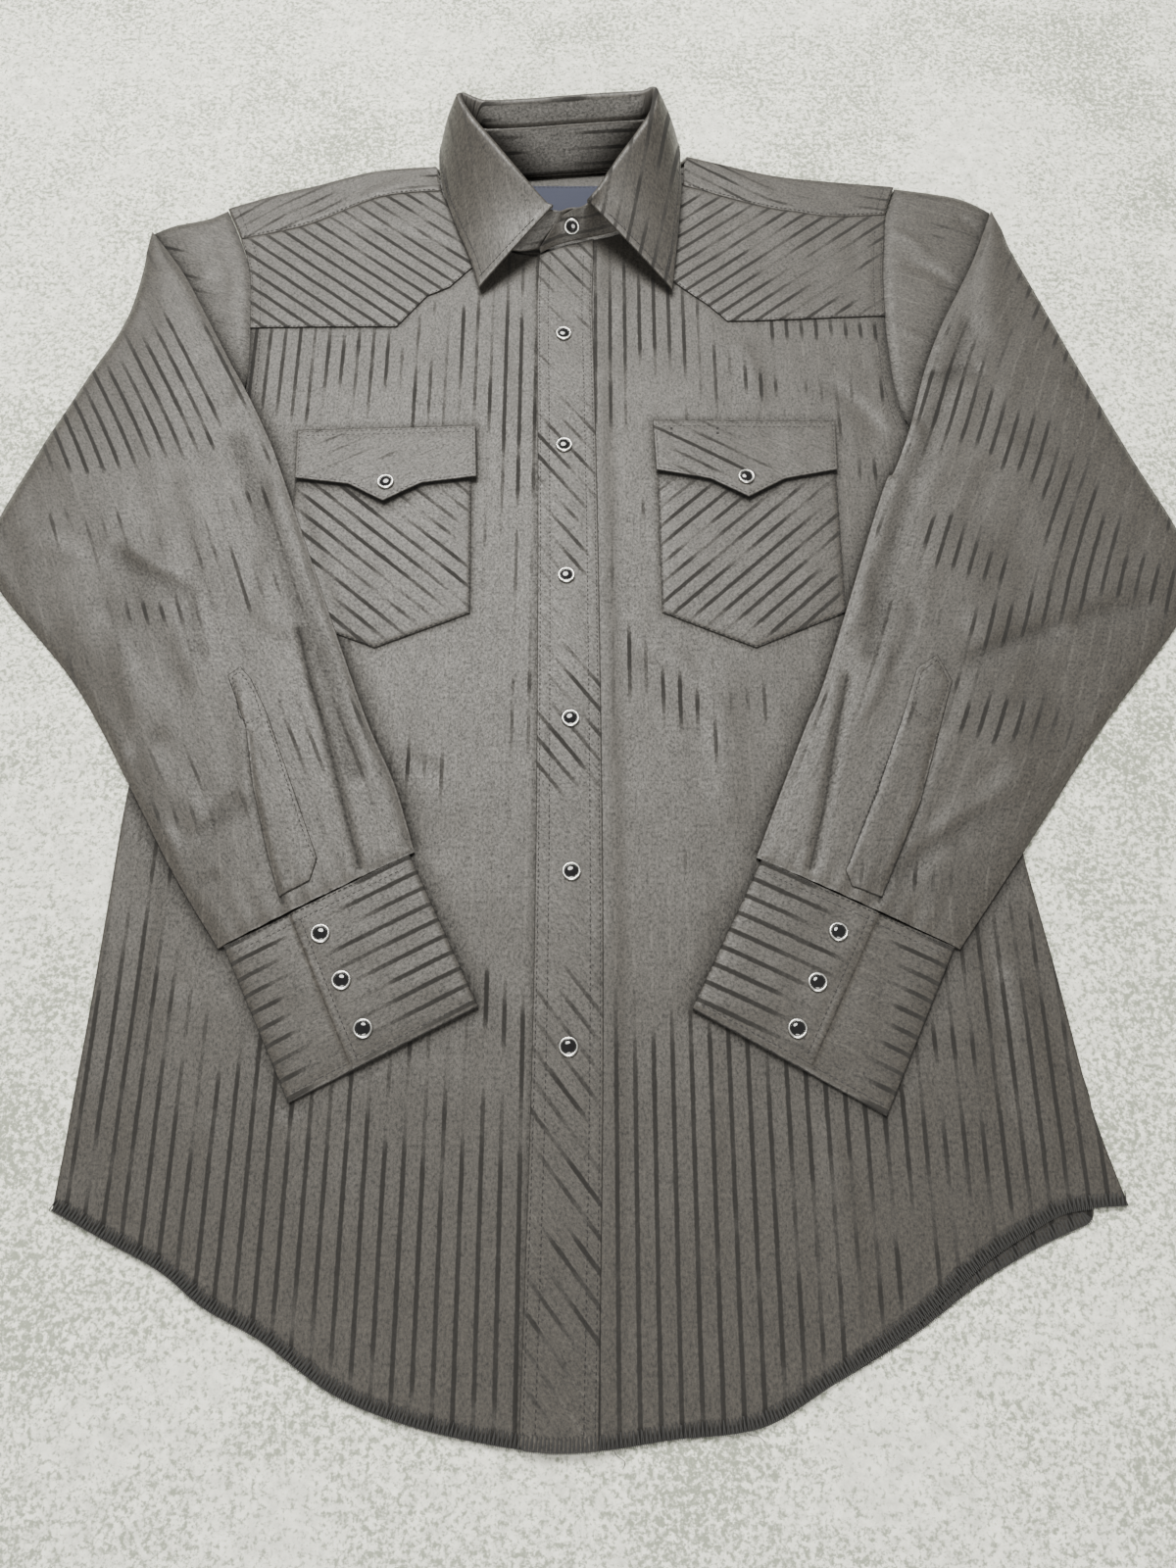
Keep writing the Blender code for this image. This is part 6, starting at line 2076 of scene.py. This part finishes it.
class ShirtSnaps(bpy.types.PropertyGroup):
    """Colours of the snaps"""
    ring_colour: colour("Ring", "Colour of the prong rings", 0.95, 0.95, 0.92)
    cap_colour: colour("Cap", "Colour of the caps", 0.008, 0.008, 0.009)


class ShirtFolds(bpy.types.PropertyGroup):
    """How lively the cloth lies"""
    crease_height: factor("Creases", "Height of the pressed creases, 1 as tabled", 1.0)
    wave_height: factor("Waves", "Height of the gentle waves, 1 as designed", 1.0)


class ShirtStage(bpy.types.PropertyGroup):
    """Floor and light"""
    floor_colour: colour("Floor", "Colour of the floor", 0.98, 0.99, 0.89)
    fleck_colour: colour("Flecks", "Colour of the floor's flecks", 0.30, 0.33, 0.26)
    floor_width: distance("Floor width", "Side of the square floor", 6.0)
    light_colour: colour("Light", "Colour of all the light", 1.0, 0.985, 0.93)
    key_strength: power("Key light", "Light from beyond the collar", 94.0)
    fill_strength: power("Fill light", "Light from the hem's side", 125.0)
    sky_strength: FloatProperty(name="Room light", description="Even light from all round", default=0.25)


PIECES = (
    Shirt_OT_back, Shirt_OT_back_yoke, Shirt_OT_fronts, Shirt_OT_front_yokes, Shirt_OT_placket,
    Shirt_OT_pockets, Shirt_OT_sleeves, Shirt_OT_cuffs, Shirt_OT_collar, Shirt_OT_label, Shirt_OT_hem,
    Shirt_OT_snaps, Shirt_OT_stage,
)
GROUPS = {
    "shirt_cloth": ShirtCloth, "shirt_sewing": ShirtSewing, "shirt_snaps": ShirtSnaps,
    "shirt_folds": ShirtFolds, "shirt_stage": ShirtStage,
}


class VIEW3D_PT_shirt(bpy.types.Panel):
    """Lists the shirt's pieces and sizes"""
    bl_label = "Western snap shirt"
    bl_space_type = "VIEW_3D"
    bl_region_type = "UI"
    bl_category = "Shirt"

    def draw(self, context):
        for operator in PIECES:
            self.layout.operator(operator.bl_idname)
        for title, group in GROUPS.items():
            box = self.layout.box()
            box.label(text=group.__doc__)
            for key in group.__annotations__:
                box.prop(getattr(context.scene, title), key)


def register():
    for made in (*GROUPS.values(), *PIECES, VIEW3D_PT_shirt):
        bpy.utils.register_class(made)
    for title, group in GROUPS.items():
        setattr(bpy.types.Scene, title, PointerProperty(type=group))


def unregister():
    for title in GROUPS:
        delattr(bpy.types.Scene, title)
    for made in (VIEW3D_PT_shirt, *PIECES, *GROUPS.values()):
        bpy.utils.unregister_class(made)


def main():
    register()
    make_camera(bpy.context.scene)
    for piece in PIECES:
        group, name = piece.bl_idname.split(".")
        if getattr(getattr(bpy.ops, group), name)() != {"FINISHED"}:
            raise RuntimeError(f"{piece.bl_label} wasn't made")


if __name__ == "__main__":
    main()
